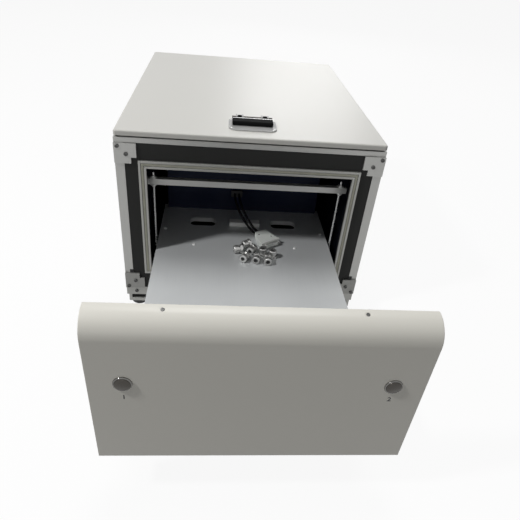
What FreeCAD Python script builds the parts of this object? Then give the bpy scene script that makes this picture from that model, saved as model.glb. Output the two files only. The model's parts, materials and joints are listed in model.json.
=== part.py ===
import FreeCAD, Part
import math
import os

os.makedirs("parts", exist_ok=True)
V = FreeCAD.Vector

# Driving sizes in millimetres. While building, x is across, y runs back from the frame's front face,
# z is up from the bench. The finished pieces are moved so that the origin is under the middle of the box.

# Stack of heights, from the bench up
foot_h = 12.0
base_t = 8.0
spacer_h = 10.0
bottom_rail_h = 21.0
front_h = 326.0
top_rail_h = 10.0
lid_gap = 3.5
lid_h = 9.5

# Frame
frame_w = 502.0
frame_d = 620.0
upright_w = 17.0
upright_d = 30.0
sheet = 2.0
panel_clear = 0.2

# Base
foot_r = 18.0
foot_side = 24.0
foot_front = 20.0
foot_rear = 36.0
spacer_w = 40.0
spacer_inset = 6.0
base_inset = 4.0
base_flange = 6.5

# Lid
lid_side_in = 1.0
lid_front_over = 2.4
lid_rear_over = 7.5
lid_corner_r = 5.0
lid_edge_r = 3.0
lid_rim = 16.0
lid_skin = 2.0
lid_gasket_w = 8.0
lid_gasket_inset = 5.0
lid_gasket_clear = 0.3

# Corner brackets on the front face
bracket_t = 4.0
bracket_w = 40.0
bracket_neck_w = 30.0
bracket_h = 26.5
bracket_neck_h = 11.5
bracket_edge = 0.2
mid_screw_in = 21.5
mid_screw_down = 19.8
edge_screw_in = 6.5
edge_screw_down = 5.0

# Hexagon socket screws of the frame
screw_r = 2.5
screw_head_r = 3.9
screw_head_h = 2.2
socket_af = 3.4
socket_depth = 1.4
screw_hole_clear = 0.2
rail_screw_bite = 12.0

# Front plate and seal ring
plate_t = 4.0
ring_gap = 2.0
ring_up = 40.5
ring_down = 32.0
rail_w = 14.5
rail_d = 5.0
groove_w = 6.0
groove_d = 3.0

# Chamber
chamber_side = 3.0
chamber_up = 8.5
chamber_down = 9.0
chamber_rear_gap = 20.0
bearer_d = 30.0
bearer_front = 150.0
bearer_rear_in = 100.0

# Crossbar on its two posts
bar_y = 50.0
bar_d = 12.0
bar_h = 12.3
bar_down = 48.5
bar_end_gap = 4.0
post_r = 3.0
post_in = 12.0
post_over = 12.0
nut_af = 10.0
nut_h = 5.0

# Tray
tray_side_gap = 10.0
tray_up = 50.0
tray_rear = 198.0
tray_flange = 40.0
slot_l = 58.0
slot_w = 34.0
slot_r = 12.0
slot_x = 92.0
slot_y = 121.5
slot_lip = 10.0

# Upright panel at the back of the tray
back_side = 8.5
back_h = 150.0
back_t = 3.0
back_foot = 12.0

# Door on the front of the tray
stop_gap = 8.0
seal_gap = 0.3
seal_t = 2.5
seal_w = 4.0
door_over = 6.0
door_down = 2.5
door_t = 34.0
door_r = 32.0
door_skin = 2.5
door_plate_t = 4.0
door_flange = 13.0
door_lip_clear = 2.3
door_screw_side = 93.0
door_tilt = 13.0
door_seat = 0.4
door_head_h = 0.8
door_shank_l = 9.0

# Small screws of the tray and the door
small_head_r = 3.6
small_head_h = 1.6
small_shank_r = 2.0
small_shank_l = 5.0
tray_screw_in = 10.5
tray_screw_y = 86.0
inner_screw_x = 108.0
inner_screw_y = 24.0

# Drawer slides, nested channels
slide_rear_gap = 40.0
slide_start = 20.0
slide_h = 35.0
slide_up = 8.0
slide_w = 16.5
slide_sheet = 1.5
slide_run = 0.5
support_t = 3.0
support_foot = 24.0

# Air cylinder under the tray
cyl_up = 25.0
cyl_front = 60.0
cyl_rear_gap = 35.0
cap_l = 25.0
cap_side = 30.0
bore_r = 12.5
tube_wall = 1.5
rod_r = 5.0
rod_clear = 0.1
piston_l = 15.0
piston_clear = 0.3
piston_gap = 3.0
mount_side = 22.0
mount_l = 16.0
mount_depth = 10.0

# Push buttons
button_side = 44.0
button_up = 150.5
bezel_r = 12.5
bezel_proud = 2.0
barrel_r = 11.6
barrel_l = 24.0
barrel_back = 4.0
barrel_clear = 0.1
cap_r = 10.8
cap_clear = 0.25
cap_proud = 0.8
cap_len = 12.0
button_nut_af = 28.0
button_nut_h = 4.0

# Lid hinges
hinge_side = 80.0
hinge_w = 20.0
hinge_side_gap = 0.4
knuckle_r = 5.0
hinge_clear = 1.0
hinge_drop = 2.5
leaf_t = 3.0
leaf_h = 30.0
pin_r = 2.0
pin_clear = 0.1
pin_fit = 0.05

# Folding handle on the lid
handle_y = 63.0
handle_w = 91.0
handle_d = 66.0
handle_corner = 16.0
handle_t = 2.0
handle_pin_back = 23.0
handle_pin_up = 7.0
handle_pin_r = 2.5
handle_pin_x = 39.0
lug_inner_x = 18.6
lug_outer_x = 30.5
lug_w = 3.0
lug_d = 12.0
lug_over = 4.0
grip_w = 77.0
grip_ahead = 11.0
grip_d = 22.0
grip_h = 8.0
grip_r = 2.5
grip_lift = 0.5
arm_x = 24.55
arm_w = 8.0
arm_r = 4.5
handle_screw_r = 3.0
handle_screw_h = 1.0
handle_screw_x = 40.0
handle_screw_front = 10.0
handle_screw_back = 56.0

# Air valve, control board and rear sockets
valve_w = 60.0
valve_d = 80.0
valve_h = 34.0
valve_side = 56.0
valve_rear = 80.0
board_w = 140.0
board_d = 120.0
board_t = 1.6
board_side = 96.0
board_rear = 120.0
standoff_r = 3.0
standoff_h = 8.0
standoff_inset = 6.0
relay_w = 16.0
relay_d = 20.0
relay_h = 15.0
relay_pitch = 24.0
terminal_w = 70.0
terminal_d = 9.0
terminal_h = 10.0
socket_up = 15.0
air_x = -120.0
air_af = 17.0
air_reach = 18.0
air_thread_r = 6.0
air_bore_r = 3.0
air_hex_h = 7.0
air_inside = 14.0
dc_x = 120.0
dc_flange_r = 12.0
dc_reach = 3.0
dc_body_r = 9.0
dc_inside = 22.0
dc_pin_r = 4.0
dc_pin_depth = 16.0
socket_hole_clear = 0.15

# Lead, its plug and what lies on the tray
lead_r = 2.6
bend_share = 0.45
grommet_w = 26.0
grommet_h = 16.0
grommet_d = 8.0
grommet_x = -16.0
grommet_up = 46.0
rest_w = 68.0
rest_d = 17.0
rest_h = 10.0
rest_x = 2.0
rest_y = 113.5
hood_x = 53.2
hood_y = 29.8
hood_turn = 33.0
hood_w = 43.7
hood_l = 42.9
hood_h = 14.0
hood_back_left = -8.0
hood_back_right = 20.6
hood_flange_t = 4.0
hood_flange_over = 1.5
hood_neck = 14.0
shell_w = 34.0
shell_h = 8.0
shell_l = 6.0
coupling_af = 17.0
coupling_hex_h = 5.0
coupling_r = 7.5
coupling_l = 18.0
coupling_bore_r = 3.8
coupling_bore = 12.0

# Left and right leads, from the grommet down to the plug: across, back and up from the tray
left_route = [(-21, 175, 46), (-21, 163, 46), (-19.5, 151, 43), (-15.5, 137, 36), (-9, 121, 27),
              (-0.5, 106, 18), (8, 92.5, 11.5), (15.6, 81, 8), (21.3, 72.3, 7), (26.8, 63.9, 7)]
right_route = [(-11, 175, 46), (-11, 163, 46), (-9.5, 151, 43), (-5.5, 137, 36), (1, 122, 27),
               (9, 108, 18), (16.8, 95.5, 11.5), (23.2, 86, 8), (28.9, 77.3, 7), (34.4, 68.9, 7)]

# Loose couplings on the tray: x, y and heading, or None for one that stands on end
couplings = [(-15, 0, -80), (2.7, 21, -60), (14, -1, -35), (-2, -29, -30),
             (22, -32.5, -15), (44.5, -36.6, 0), (36, -7, None), (56, -14, None)]

# Levels and places that follow from the sizes above
base_low = foot_h
frame_low = base_low + base_t + spacer_h
front_low = frame_low + bottom_rail_h
front_top = front_low + front_h
frame_top = front_top + top_rail_h
lid_low = frame_top + lid_gap
lid_top = lid_low + lid_h
half_w = frame_w / 2
inner_w = half_w - upright_w
rear_face = frame_d + sheet
lid_w = frame_w - 2 * lid_side_in
lid_rear = frame_d + lid_rear_over
ring_w = frame_w - 2 * (bracket_w + ring_gap)
ring_low = front_low + ring_up
ring_top = front_top - ring_down
ring_front = -rail_d
ring_in = ring_w / 2 - rail_w
groove_mid = rail_w / 2
chamber_half = ring_w / 2 - chamber_side
chamber_low = ring_low + chamber_up
chamber_top = ring_top - chamber_down
chamber_back = frame_d - chamber_rear_gap
chamber_roof = chamber_top + sheet
bearer_rear = chamber_back - bearer_rear_in
bar_l = 2 * (chamber_half - bar_end_gap)
bar_top = chamber_top - bar_down
post_x = bar_l / 2 - post_in
tray_half = ring_in - tray_side_gap
tray_top = chamber_low + tray_up
tray_under = tray_top - sheet
tray_screw_x = tray_half - tray_screw_in
travel = chamber_back - tray_rear - stop_gap
back_w = 2 * (tray_half - back_side)
back_front = tray_rear - back_foot - back_t
door_w = ring_w + 2 * door_over
door_low = ring_low
door_top = ring_top - door_down
door_back = ring_front - seal_gap - travel - seal_t
door_front = door_back - door_t
door_screw_x = door_w / 2 - door_screw_side
door_screw_y = door_front + door_r * (1 - math.sin(math.radians(door_tilt)))
door_screw_z = door_top - door_r * (1 - math.cos(math.radians(door_tilt)))
slide_l = chamber_back - slide_start - slide_rear_gap
slide_low = chamber_low + slide_up
slide_out = tray_half - sheet
slide_in = slide_out - slide_w
slide_step = slide_sheet + slide_run
cyl_z = chamber_low + cyl_up
cyl_l = chamber_back - cyl_front - cyl_rear_gap
button_x = door_w / 2 - button_side
button_z = door_low + button_up
hinge_x = lid_w / 2 - hinge_side
hinge_y = lid_rear + knuckle_r + hinge_clear
hinge_z = lid_low - hinge_drop
handle_pin_y = handle_y + handle_pin_back
pin_z = lid_top + handle_pin_up
grip_front = handle_y - grip_ahead
valve_x = valve_side - chamber_half
valve_y = chamber_back - valve_rear
board_x = chamber_half - board_side
board_y = chamber_back - board_rear
socket_z = front_low + socket_up
grommet_z = tray_top + grommet_up
box_front = door_front - bezel_proud - cap_proud
box_rear = rear_face + air_reach
origin_y = (box_front + box_rear) / 2


# Shared helpers
def box(x, y, z):
    return Part.makeBox(x[1] - x[0], y[1] - y[0], z[1] - z[0], V(x[0], y[0], z[0]))


def rod(start, end, radius):
    a, b = V(*start), V(*end)
    return Part.makeCylinder(radius, (b - a).Length, a, b - a)


def outline(points):
    return Part.Face(Part.makePolygon([V(*p) for p in points + points[:1]]))


def hexagon(start, end, across_flats):
    a, b = V(*start), V(*end)
    corner = across_flats / math.sqrt(3)
    turns = [math.radians(60 * k + 30) for k in range(6)]
    face = outline([(corner * math.cos(t), corner * math.sin(t), 0) for t in turns])
    face.Placement = FreeCAD.Placement(a, FreeCAD.Rotation(V(0, 0, 1), b - a))
    return face.extrude(b - a)


def rounded_slab(w, d, z, corner, mid):
    slab = box((mid[0] - w / 2, mid[0] + w / 2), (mid[1] - d / 2, mid[1] + d / 2), z)
    edges = [e for e in slab.Edges if abs(e.tangentAt(e.FirstParameter).z) > 0.9]
    return slab.makeFillet(corner, edges)


def mirrored(shape):
    return shape.mirror(V(0, 0, 0), V(1, 0, 0))


def pair(shape):
    return [shape, mirrored(shape)]


def save(node, solids):
    solids = solids if isinstance(solids, list) else [solids]
    whole = solids[0] if len(solids) == 1 else Part.makeCompound(solids)
    whole = whole.copy()
    whole.translate(V(0, -origin_y, 0))
    whole.exportStep("parts/" + node + ".step")


# Frame screws: where each stands on the front face, and how deep it bites
def bracket_screws():
    spots = []
    for side in (-1, 1):
        for edge, way in ((front_top - bracket_edge, -1), (front_low, 1)):
            spots.append((side * (half_w - mid_screw_in), edge + way * mid_screw_down, "plate"))
            spots.append((side * (half_w - edge_screw_in), edge + way * edge_screw_down, "upright"))
    return spots


def rail_screws():
    return [(side * (half_w - mid_screw_in), frame_low + bottom_rail_h / 2) for side in (-1, 1)]


def socket_screw(x, z, seat, tip):
    head = rod((x, seat - screw_head_h, z), (x, seat, z), screw_head_r)
    shank = rod((x, seat, z), (x, tip, z), screw_r)
    socket = hexagon((x, seat - screw_head_h, z), (x, seat - screw_head_h + socket_depth, z), socket_af)
    return head.fuse(shank).removeSplitter().cut(socket)


def frame_screws():
    depth = {"plate": plate_t, "upright": rail_screw_bite}
    made = [socket_screw(x, z, -bracket_t, depth[what]) for x, z, what in bracket_screws()]
    return made + [socket_screw(x, z, 0, rail_screw_bite) for x, z in rail_screws()]


def screw_holes(spots, y):
    return [rod((x, y[0], z), (x, y[1], z), screw_r + screw_hole_clear) for x, z in spots]


# Frame
def uprights(y):
    return pair(box((inner_w, half_w), (y, y + upright_d), (front_low, front_top)))


def front_uprights():
    holes = screw_holes([s[:2] for s in bracket_screws() if s[2] == "upright"], (0, rail_screw_bite))
    return [u.cut(holes) for u in uprights(0)]


def rail(y, z):
    return box((-half_w, half_w), (y, y + upright_d), z)


def bottom_front_rail():
    return rail(0, (frame_low, front_low)).cut(screw_holes(rail_screws(), (0, rail_screw_bite)))


def rear_frame():
    y = frame_d - upright_d
    return uprights(y) + [rail(y, (frame_low, front_low)), rail(y, (front_top, frame_top))]


def side_rails():
    y = (upright_d, frame_d - upright_d)
    low = box((inner_w, half_w), y, (frame_low, front_low))
    high = box((inner_w, half_w), y, (front_top, frame_top))
    return pair(low) + pair(high)


def side_panels():
    y = (upright_d + panel_clear, frame_d - upright_d - panel_clear)
    z = (front_low + panel_clear, front_top - panel_clear)
    return pair(box((half_w - sheet, half_w), y, z))


def corner_bracket(side, edge, way):
    out, wide, neck = half_w, half_w - bracket_w, half_w - bracket_neck_w
    step, end = edge + way * bracket_h, edge + way * (bracket_h + bracket_neck_h)
    flat = [(out, edge), (wide, edge), (wide, step), (neck, step), (neck, end), (out, end)]
    face = outline([(side * x, -bracket_t, z) for x, z in flat])
    plate = face.extrude(V(0, bracket_t, 0))
    return plate.cut(screw_holes([s[:2] for s in bracket_screws()], (-bracket_t, 0)))


def corner_brackets():
    edges = ((front_top - bracket_edge, -1), (front_low, 1))
    return [corner_bracket(side, edge, way) for side in (-1, 1) for edge, way in edges]


def rear_panel():
    panel = box((-half_w, half_w), (frame_d, rear_face), (frame_low, frame_top))
    sockets = ((air_x, air_thread_r), (dc_x, dc_body_r))
    holes = [rod((x, frame_d, socket_z), (x, rear_face, socket_z), r + socket_hole_clear) for x, r in sockets]
    return panel.cut(holes)


def base_plate():
    x = half_w - base_inset
    top = base_low + base_t
    plate = box((-x, x), (0, frame_d), (base_low, top))
    flanges = pair(box((x - base_flange, x), (0, frame_d), (top, frame_low - panel_clear)))
    return plate.fuse(flanges).removeSplitter()


def base_spacers():
    out = half_w - base_inset - base_flange - panel_clear
    return pair(box((out - spacer_w, out), (spacer_inset, frame_d - spacer_inset),
                    (base_low + base_t, frame_low)))


def feet():
    x = half_w - foot_side
    rows = (foot_front, frame_d - foot_rear)
    return [rod((s * x, y, 0), (s * x, y, foot_h), foot_r) for s in (-1, 1) for y in rows]


# Front plate and the four mitred rails of the seal ring
def front_plate():
    x = inner_w - panel_clear
    plate = box((-x, x), (0, plate_t), (front_low + panel_clear, front_top - panel_clear))
    hole = box((-ring_in, ring_in), (0, plate_t), (ring_low + rail_w, ring_top - rail_w))
    return plate.cut([hole] + screw_holes([s[:2] for s in bracket_screws()], (0, plate_t)))


def frame_box(inset, width, y):
    def block(d):
        half = ring_w / 2 - d
        return box((-half, half), y, (ring_low + d, ring_top - d))
    return block(inset).cut(block(inset + width))


def mitred(rail_points):
    face = outline([(x, ring_front, z) for x, z in rail_points])
    groove = frame_box(groove_mid - groove_w / 2, groove_w, (ring_front, ring_front + groove_d))
    return face.extrude(V(0, rail_d, 0)).cut(groove)


def seal_rails_level():
    out = ring_w / 2
    bottom = [(-out, ring_low), (out, ring_low), (ring_in, ring_low + rail_w), (-ring_in, ring_low + rail_w)]
    top = [(-out, ring_top), (out, ring_top), (ring_in, ring_top - rail_w), (-ring_in, ring_top - rail_w)]
    return [mitred(bottom), mitred(top)]


def seal_rails_upright():
    out = ring_w / 2
    right = [(out, ring_low), (out, ring_top), (ring_in, ring_top - rail_w), (ring_in, ring_low + rail_w)]
    return pair(mitred(right))


# Chamber behind the front plate
def chamber_plates():
    levels = (chamber_low - sheet, chamber_top)
    return [box((-chamber_half, chamber_half), (plate_t, chamber_back), (z, z + sheet)) for z in levels]


def chamber_walls():
    z = (chamber_low - sheet, chamber_top + sheet)
    return pair(box((chamber_half, chamber_half + sheet), (plate_t, chamber_back), z))


def chamber_rear_wall():
    x = chamber_half + sheet
    z = (chamber_low - sheet, chamber_top + sheet)
    return box((-x, x), (chamber_back, chamber_back + sheet), z)


def chamber_bearers():
    x = half_w - sheet - panel_clear
    z = (front_low, chamber_low - sheet)
    rows = (bearer_front, bearer_rear)
    outer = [box((-x, x), (y - bearer_d / 2, y + bearer_d / 2), z) for y in rows]
    inner = [box((-x, x), (y - bearer_d / 2 + sheet, y + bearer_d / 2 - sheet),
                 (z[0] + sheet, z[1] - sheet)) for y in rows]
    return [o.cut(i) for o, i in zip(outer, inner)]


# Crossbar, posts and nuts
def crossbar():
    bar = box((-bar_l / 2, bar_l / 2), (bar_y - bar_d / 2, bar_y + bar_d / 2), (bar_top - bar_h, bar_top))
    holes = [rod((s * post_x, bar_y, bar_top - bar_h), (s * post_x, bar_y, bar_top), post_r + rod_clear)
             for s in (-1, 1)]
    return bar.cut(holes)


def crossbar_posts():
    return pair(rod((post_x, bar_y, chamber_low), (post_x, bar_y, bar_top + post_over), post_r))


def crossbar_nuts():
    levels = (chamber_low, bar_top - bar_h - nut_h, bar_top)
    made = []
    for z in levels:
        nut = hexagon((post_x, bar_y, z), (post_x, bar_y, z + nut_h), nut_af)
        hole = rod((post_x, bar_y, z), (post_x, bar_y, z + nut_h), post_r + rod_clear)
        made += pair(nut.cut(hole))
    return made


# Drawer slides: three nested channels on each side, the inner one on the tray
def channel(web_x, lip_x, grow, y):
    z = (slide_low + grow, slide_low + slide_h - grow)
    x = (min(web_x, lip_x), max(web_x, lip_x))
    body = box(x, y, z)
    way = 1 if lip_x > web_x else -1
    hollow_x = sorted((web_x + way * slide_sheet, lip_x))
    return body.cut(box(hollow_x, y, (z[0] + slide_sheet, z[1] - slide_sheet)))


def slide_span(shift):
    return (slide_start - shift, slide_start - shift + slide_l)


def outer_slides():
    return pair(channel(slide_in, slide_out - 2 * slide_step, 0, slide_span(0)))


def middle_slides():
    return pair(channel(slide_in + slide_step, slide_out - slide_step, slide_step, slide_span(travel / 2)))


def inner_slides():
    return pair(channel(slide_out, slide_in + 2 * slide_step, 2 * slide_step, slide_span(travel)))


def slide_supports():
    y = slide_span(0)
    leg = box((slide_in - support_t, slide_in), y, (chamber_low, slide_low + slide_h))
    foot = box((slide_in - support_foot, slide_in), y, (chamber_low, chamber_low + support_t))
    return pair(leg.fuse(foot).removeSplitter())


# Air cylinder and its rod
def cylinder_caps():
    half = cap_side / 2
    front = box((-half, half), (cyl_front, cyl_front + cap_l), (chamber_low, cyl_z + half))
    hole = rod((0, cyl_front, cyl_z), (0, cyl_front + cap_l, cyl_z), rod_r + rod_clear)
    rear_y = cyl_front + cyl_l - cap_l
    rear = box((-half, half), (rear_y, rear_y + cap_l), (chamber_low, cyl_z + half))
    return [front.cut(hole), rear]


def cylinder_tube():
    a, b = (0, cyl_front + cap_l, cyl_z), (0, cyl_front + cyl_l - cap_l, cyl_z)
    return rod(a, b, bore_r + tube_wall).cut(rod(a, b, bore_r))


def cylinder_rod():
    tip = door_back + mount_l - mount_depth
    piston_y = cyl_front + cap_l + piston_gap
    shaft = rod((0, tip, cyl_z), (0, piston_y, cyl_z), rod_r)
    piston = rod((0, piston_y, cyl_z), (0, piston_y + piston_l, cyl_z), bore_r - piston_clear)
    return shaft.fuse(piston).removeSplitter()


def rod_mount():
    half = mount_side / 2
    block = box((-half, half), (door_back + sheet, door_back + mount_l), (cyl_z - half, cyl_z + half))
    a, b = (0, door_back + mount_l - mount_depth, cyl_z), (0, door_back + mount_l, cyl_z)
    return block.cut(rod(a, b, rod_r))


# Tray, its back panel and the small screws
def slot_block(grow, z):
    mid = (slot_x, slot_y)
    return rounded_slab(slot_l + 2 * grow, slot_w + 2 * grow, z, slot_r + grow, mid)


def tray_spots():
    right = [(tray_screw_x, tray_screw_y), (inner_screw_x, inner_screw_y)]
    return right + [(-x, y) for x, y in right]


def tray():
    y = (door_back, tray_rear)
    low = tray_top - tray_flange
    top = box((-tray_half, tray_half), y, (tray_under, tray_top))
    sides = pair(box((slide_out, tray_half), y, (low, tray_top)))
    front = box((-tray_half, tray_half), (door_back, door_back + sheet), (low, tray_top))
    lips = pair(slot_block(sheet, (tray_top - slot_lip, tray_top)))
    slots = pair(slot_block(0, (tray_top - slot_lip, tray_top)))
    holes = [rod((x, y, tray_under), (x, y, tray_top), small_shank_r + rod_clear) for x, y in tray_spots()]
    return top.fuse(sides + [front] + lips).removeSplitter().cut(slots + holes)


def small_screw(x, y, z):
    head = rod((x, y, z), (x, y, z + small_head_h), small_head_r)
    shank = rod((x, y, z - small_shank_l), (x, y, z), small_shank_r)
    return head.fuse(shank).removeSplitter()


# A rod square to the door's round top edge, between two depths
def on_door(side, z, radius):
    piece = rod((0, 0, z[0]), (0, 0, z[1]), radius)
    piece.rotate(V(0, 0, 0), V(1, 0, 0), door_tilt)
    piece.translate(V(side * door_screw_x, door_screw_y, door_screw_z))
    return piece


def door_screw(side):
    head = on_door(side, (-door_seat, door_head_h - door_seat), small_head_r)
    shank = on_door(side, (-door_shank_l, -door_seat), small_shank_r)
    return head.fuse(shank).removeSplitter()


def drawer_screws():
    on_tray = [small_screw(x, y, tray_top) for x, y in tray_spots()]
    return on_tray + [door_screw(s) for s in (-1, 1)]


def tray_back_panel():
    x, y = back_w / 2, back_front
    wall = box((-x, x), (y, y + back_t), (tray_top, tray_top + back_h))
    foot = box((-x, x), (y + back_t, tray_rear), (tray_top, tray_top + back_t))
    return wall.fuse(foot).removeSplitter()


# Door: hollow front, plate set into its back, seal and screws
def door_block(inset):
    half = door_w / 2 - inset
    front, low, top = door_front + inset, door_low + inset, door_top - inset
    radius = door_r - inset
    spring = top - radius
    mid = radius * (1 - math.sqrt(0.5))
    rise = Part.Arc(V(-half, front, spring), V(-half, front + mid, top - mid), V(-half, front + radius, top))
    points = [(front + radius, top), (door_back, top), (door_back, low), (front, low), (front, spring)]
    corners = [V(-half, y, z) for y, z in points]
    lines = [Part.makeLine(a, b) for a, b in zip(corners, corners[1:])]
    wire = Part.Wire([rise.toShape()] + lines)
    return Part.Face(wire).extrude(V(2 * half, 0, 0))


def door_pins():
    holes = [on_door(s, (-door_shank_l, 0), small_shank_r + rod_clear) for s in (-1, 1)]
    seats = [on_door(s, (-door_seat, door_head_h), small_head_r + rod_clear) for s in (-1, 1)]
    return holes + seats


def door_panel():
    shell = door_block(0).cut(door_block(door_skin))
    barrels = [rod((s * button_x, door_front, button_z), (s * button_x, door_front + door_skin, button_z),
                   barrel_r + barrel_clear) for s in (-1, 1)]
    return shell.cut(barrels + door_pins())


def door_back_plate():
    inset = door_skin + panel_clear
    x = door_w / 2 - inset
    z = (door_low + inset, door_top - inset)
    plate = box((-x, x), (door_back - door_plate_t, door_back), z)
    lip_top = z[1] - door_lip_clear
    lip = box((-x, x), (door_back - door_flange, door_back), (lip_top - sheet, lip_top))
    foot = box((-x, x), (door_back - door_flange, door_back), (z[0], z[0] + sheet))
    return plate.fuse([lip, foot]).removeSplitter().cut(door_pins())


def door_seal():
    return frame_box(groove_mid - seal_w / 2, seal_w, (door_back, door_back + seal_t))


# Push buttons
def button_bezel():
    a = door_front - bezel_proud
    ring = rod((button_x, a, button_z), (button_x, door_front, button_z), bezel_r)
    end = door_front + barrel_l
    barrel = rod((button_x, door_front, button_z), (button_x, end, button_z), barrel_r)
    well = rod((button_x, a, button_z), (button_x, end - barrel_back, button_z), cap_r + cap_clear)
    return ring.fuse(barrel).removeSplitter().cut(well)


def button_nut():
    a, b = door_front + door_skin, door_front + door_skin + button_nut_h
    nut = hexagon((button_x, a, button_z), (button_x, b, button_z), button_nut_af)
    return nut.cut(rod((button_x, a, button_z), (button_x, b, button_z), barrel_r + barrel_clear))


def button(side):
    a = door_front - bezel_proud - cap_proud
    cap = rod((side * button_x, a, button_z), (side * button_x, a + cap_len, button_z), cap_r)
    rim = [e for e in cap.Edges if abs(e.BoundBox.YMin - a) < 0.01 and abs(e.BoundBox.YMax - a) < 0.01]
    return cap.makeFillet(cap_proud / 2, rim)


# Lid with its gasket, hinges and folding handle
def lid():
    y = (-lid_front_over, lid_rear)
    mid = (0, (y[0] + y[1]) / 2)
    depth = y[1] - y[0]
    slab = rounded_slab(lid_w, depth, (lid_low, lid_top), lid_corner_r, mid)
    upper = [e for e in slab.Edges if e.BoundBox.ZMin > lid_top - 0.01]
    slab = slab.makeFillet(lid_edge_r, upper)
    hollow = box((lid_rim - lid_w / 2, lid_w / 2 - lid_rim), (y[0] + lid_rim, y[1] - lid_rim),
                 (lid_low, lid_top - lid_skin))
    return slab.cut(hollow)


def lid_gasket():
    z = (frame_top, lid_low - lid_gasket_clear)
    d = lid_gasket_inset
    outer = box((d - half_w, half_w - d), (d, frame_d - d), z)
    d += lid_gasket_w
    return outer.cut(box((d - half_w, half_w - d), (d, frame_d - d), z))


def hinge_pin():
    x = (hinge_x - hinge_w, hinge_x + hinge_w)
    return rod((x[0], hinge_y, hinge_z), (x[1], hinge_y, hinge_z), pin_r)


def hinge_leaf():
    x = (hinge_x - hinge_w, hinge_x - hinge_side_gap / 2)
    leaf = box(x, (rear_face, rear_face + leaf_t), (hinge_z - knuckle_r - leaf_h, hinge_z - knuckle_r))
    arm = box(x, (rear_face, hinge_y), (hinge_z - knuckle_r, hinge_z - knuckle_r + leaf_t))
    knuckle = rod((x[0], hinge_y, hinge_z), (x[1], hinge_y, hinge_z), knuckle_r)
    hole = rod((x[0], hinge_y, hinge_z), (x[1], hinge_y, hinge_z), pin_r + pin_fit)
    return leaf.fuse([arm, knuckle]).removeSplitter().cut(hole)


def lid_leaf():
    x = (hinge_x + hinge_side_gap / 2, hinge_x + hinge_w)
    leaf = box(x, (lid_rear, hinge_y), (lid_low, lid_top - lid_edge_r))
    knuckle = rod((x[0], hinge_y, hinge_z), (x[1], hinge_y, hinge_z), knuckle_r)
    hole = rod((x[0], hinge_y, hinge_z), (x[1], hinge_y, hinge_z), pin_r + pin_clear)
    return leaf.fuse(knuckle).removeSplitter().cut(hole)


def handle_base():
    z = (lid_top, lid_top + handle_t)
    plate = rounded_slab(handle_w, handle_d, z, handle_corner, (0, handle_y))
    y = (handle_pin_y - lug_d / 2, handle_pin_y + lug_d / 2)
    lugs = [lug for x in (lug_inner_x, lug_outer_x)
            for lug in pair(box((x - lug_w / 2, x + lug_w / 2), y, (lid_top, pin_z + lug_over)))]
    hole = rod((-handle_w / 2, handle_pin_y, pin_z), (handle_w / 2, handle_pin_y, pin_z),
               handle_pin_r + pin_fit)
    return plate.fuse(lugs).removeSplitter().cut(hole)


def handle_pin():
    return rod((-handle_pin_x, handle_pin_y, pin_z), (handle_pin_x, handle_pin_y, pin_z), handle_pin_r)


def handle_screws():
    front = handle_y - handle_d / 2
    rows = (front + handle_screw_front, front + handle_screw_back)
    z = lid_top + handle_t
    return [rod((s * handle_screw_x, y, z), (s * handle_screw_x, y, z + handle_screw_h), handle_screw_r)
            for s in (-1, 1) for y in rows]


def handle_grip():
    low = lid_top + handle_t + grip_lift
    bar = box((-grip_w / 2, grip_w / 2), (grip_front, grip_front + grip_d), (low, low + grip_h))
    bar = bar.makeFillet(grip_r, [e for e in bar.Edges if abs(e.tangentAt(e.FirstParameter).x) > 0.9])
    x = (arm_x - arm_w / 2, arm_x + arm_w / 2)
    reach = box(x, (grip_front + grip_d / 2, handle_pin_y), (low + grip_r, low + grip_h - grip_r))
    eye = rod((x[0], handle_pin_y, pin_z), (x[1], handle_pin_y, pin_z), arm_r)
    hole = rod((-grip_w, handle_pin_y, pin_z), (grip_w, handle_pin_y, pin_z), handle_pin_r + pin_clear)
    return bar.fuse(pair(reach.fuse(eye))).removeSplitter().cut(hole)


# Valve, control board and rear sockets
def block_on(x, y, w, d, z, h):
    return box((x - w / 2, x + w / 2), (y - d / 2, y + d / 2), (z, z + h))


def solenoid_valve():
    return block_on(valve_x, valve_y, valve_w, valve_d, chamber_roof, valve_h)


def standoffs():
    x, y = board_w / 2 - standoff_inset, board_d / 2 - standoff_inset
    spots = [(board_x + i * x, board_y + j * y) for i in (-1, 1) for j in (-1, 1)]
    z = (chamber_roof, chamber_roof + standoff_h)
    return [rod((a, b, z[0]), (a, b, z[1]), standoff_r) for a, b in spots]


def control_board():
    z = chamber_roof + standoff_h
    card = block_on(board_x, board_y, board_w, board_d, z, board_t)
    relays = [block_on(board_x + k * relay_pitch, board_y, relay_w, relay_d, z + board_t, relay_h)
              for k in (-1, 0, 1)]
    strip_y = board_y + board_d / 2 - terminal_d
    strip = block_on(board_x, strip_y, terminal_w, terminal_d, z + board_t, terminal_h)
    return card.fuse(relays + [strip]).removeSplitter()


def air_inlet():
    def along(y0, y1, r):
        return rod((air_x, y0, socket_z), (air_x, y1, socket_z), r)
    hexed = hexagon((air_x, rear_face, socket_z), (air_x, rear_face + air_hex_h, socket_z), air_af)
    body = along(frame_d - air_inside, rear_face + air_reach, air_thread_r)
    bore = along(frame_d - air_inside, rear_face + air_reach, air_bore_r)
    return hexed.fuse(body).removeSplitter().cut(bore)


def dc_inlet():
    def along(y0, y1, r):
        return rod((dc_x, y0, socket_z), (dc_x, y1, socket_z), r)
    end = rear_face + dc_reach
    flange = along(rear_face, end, dc_flange_r)
    body = along(rear_face - dc_inside, rear_face, dc_body_r)
    return flange.fuse(body).removeSplitter().cut(along(end - dc_pin_depth, end, dc_pin_r))


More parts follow.
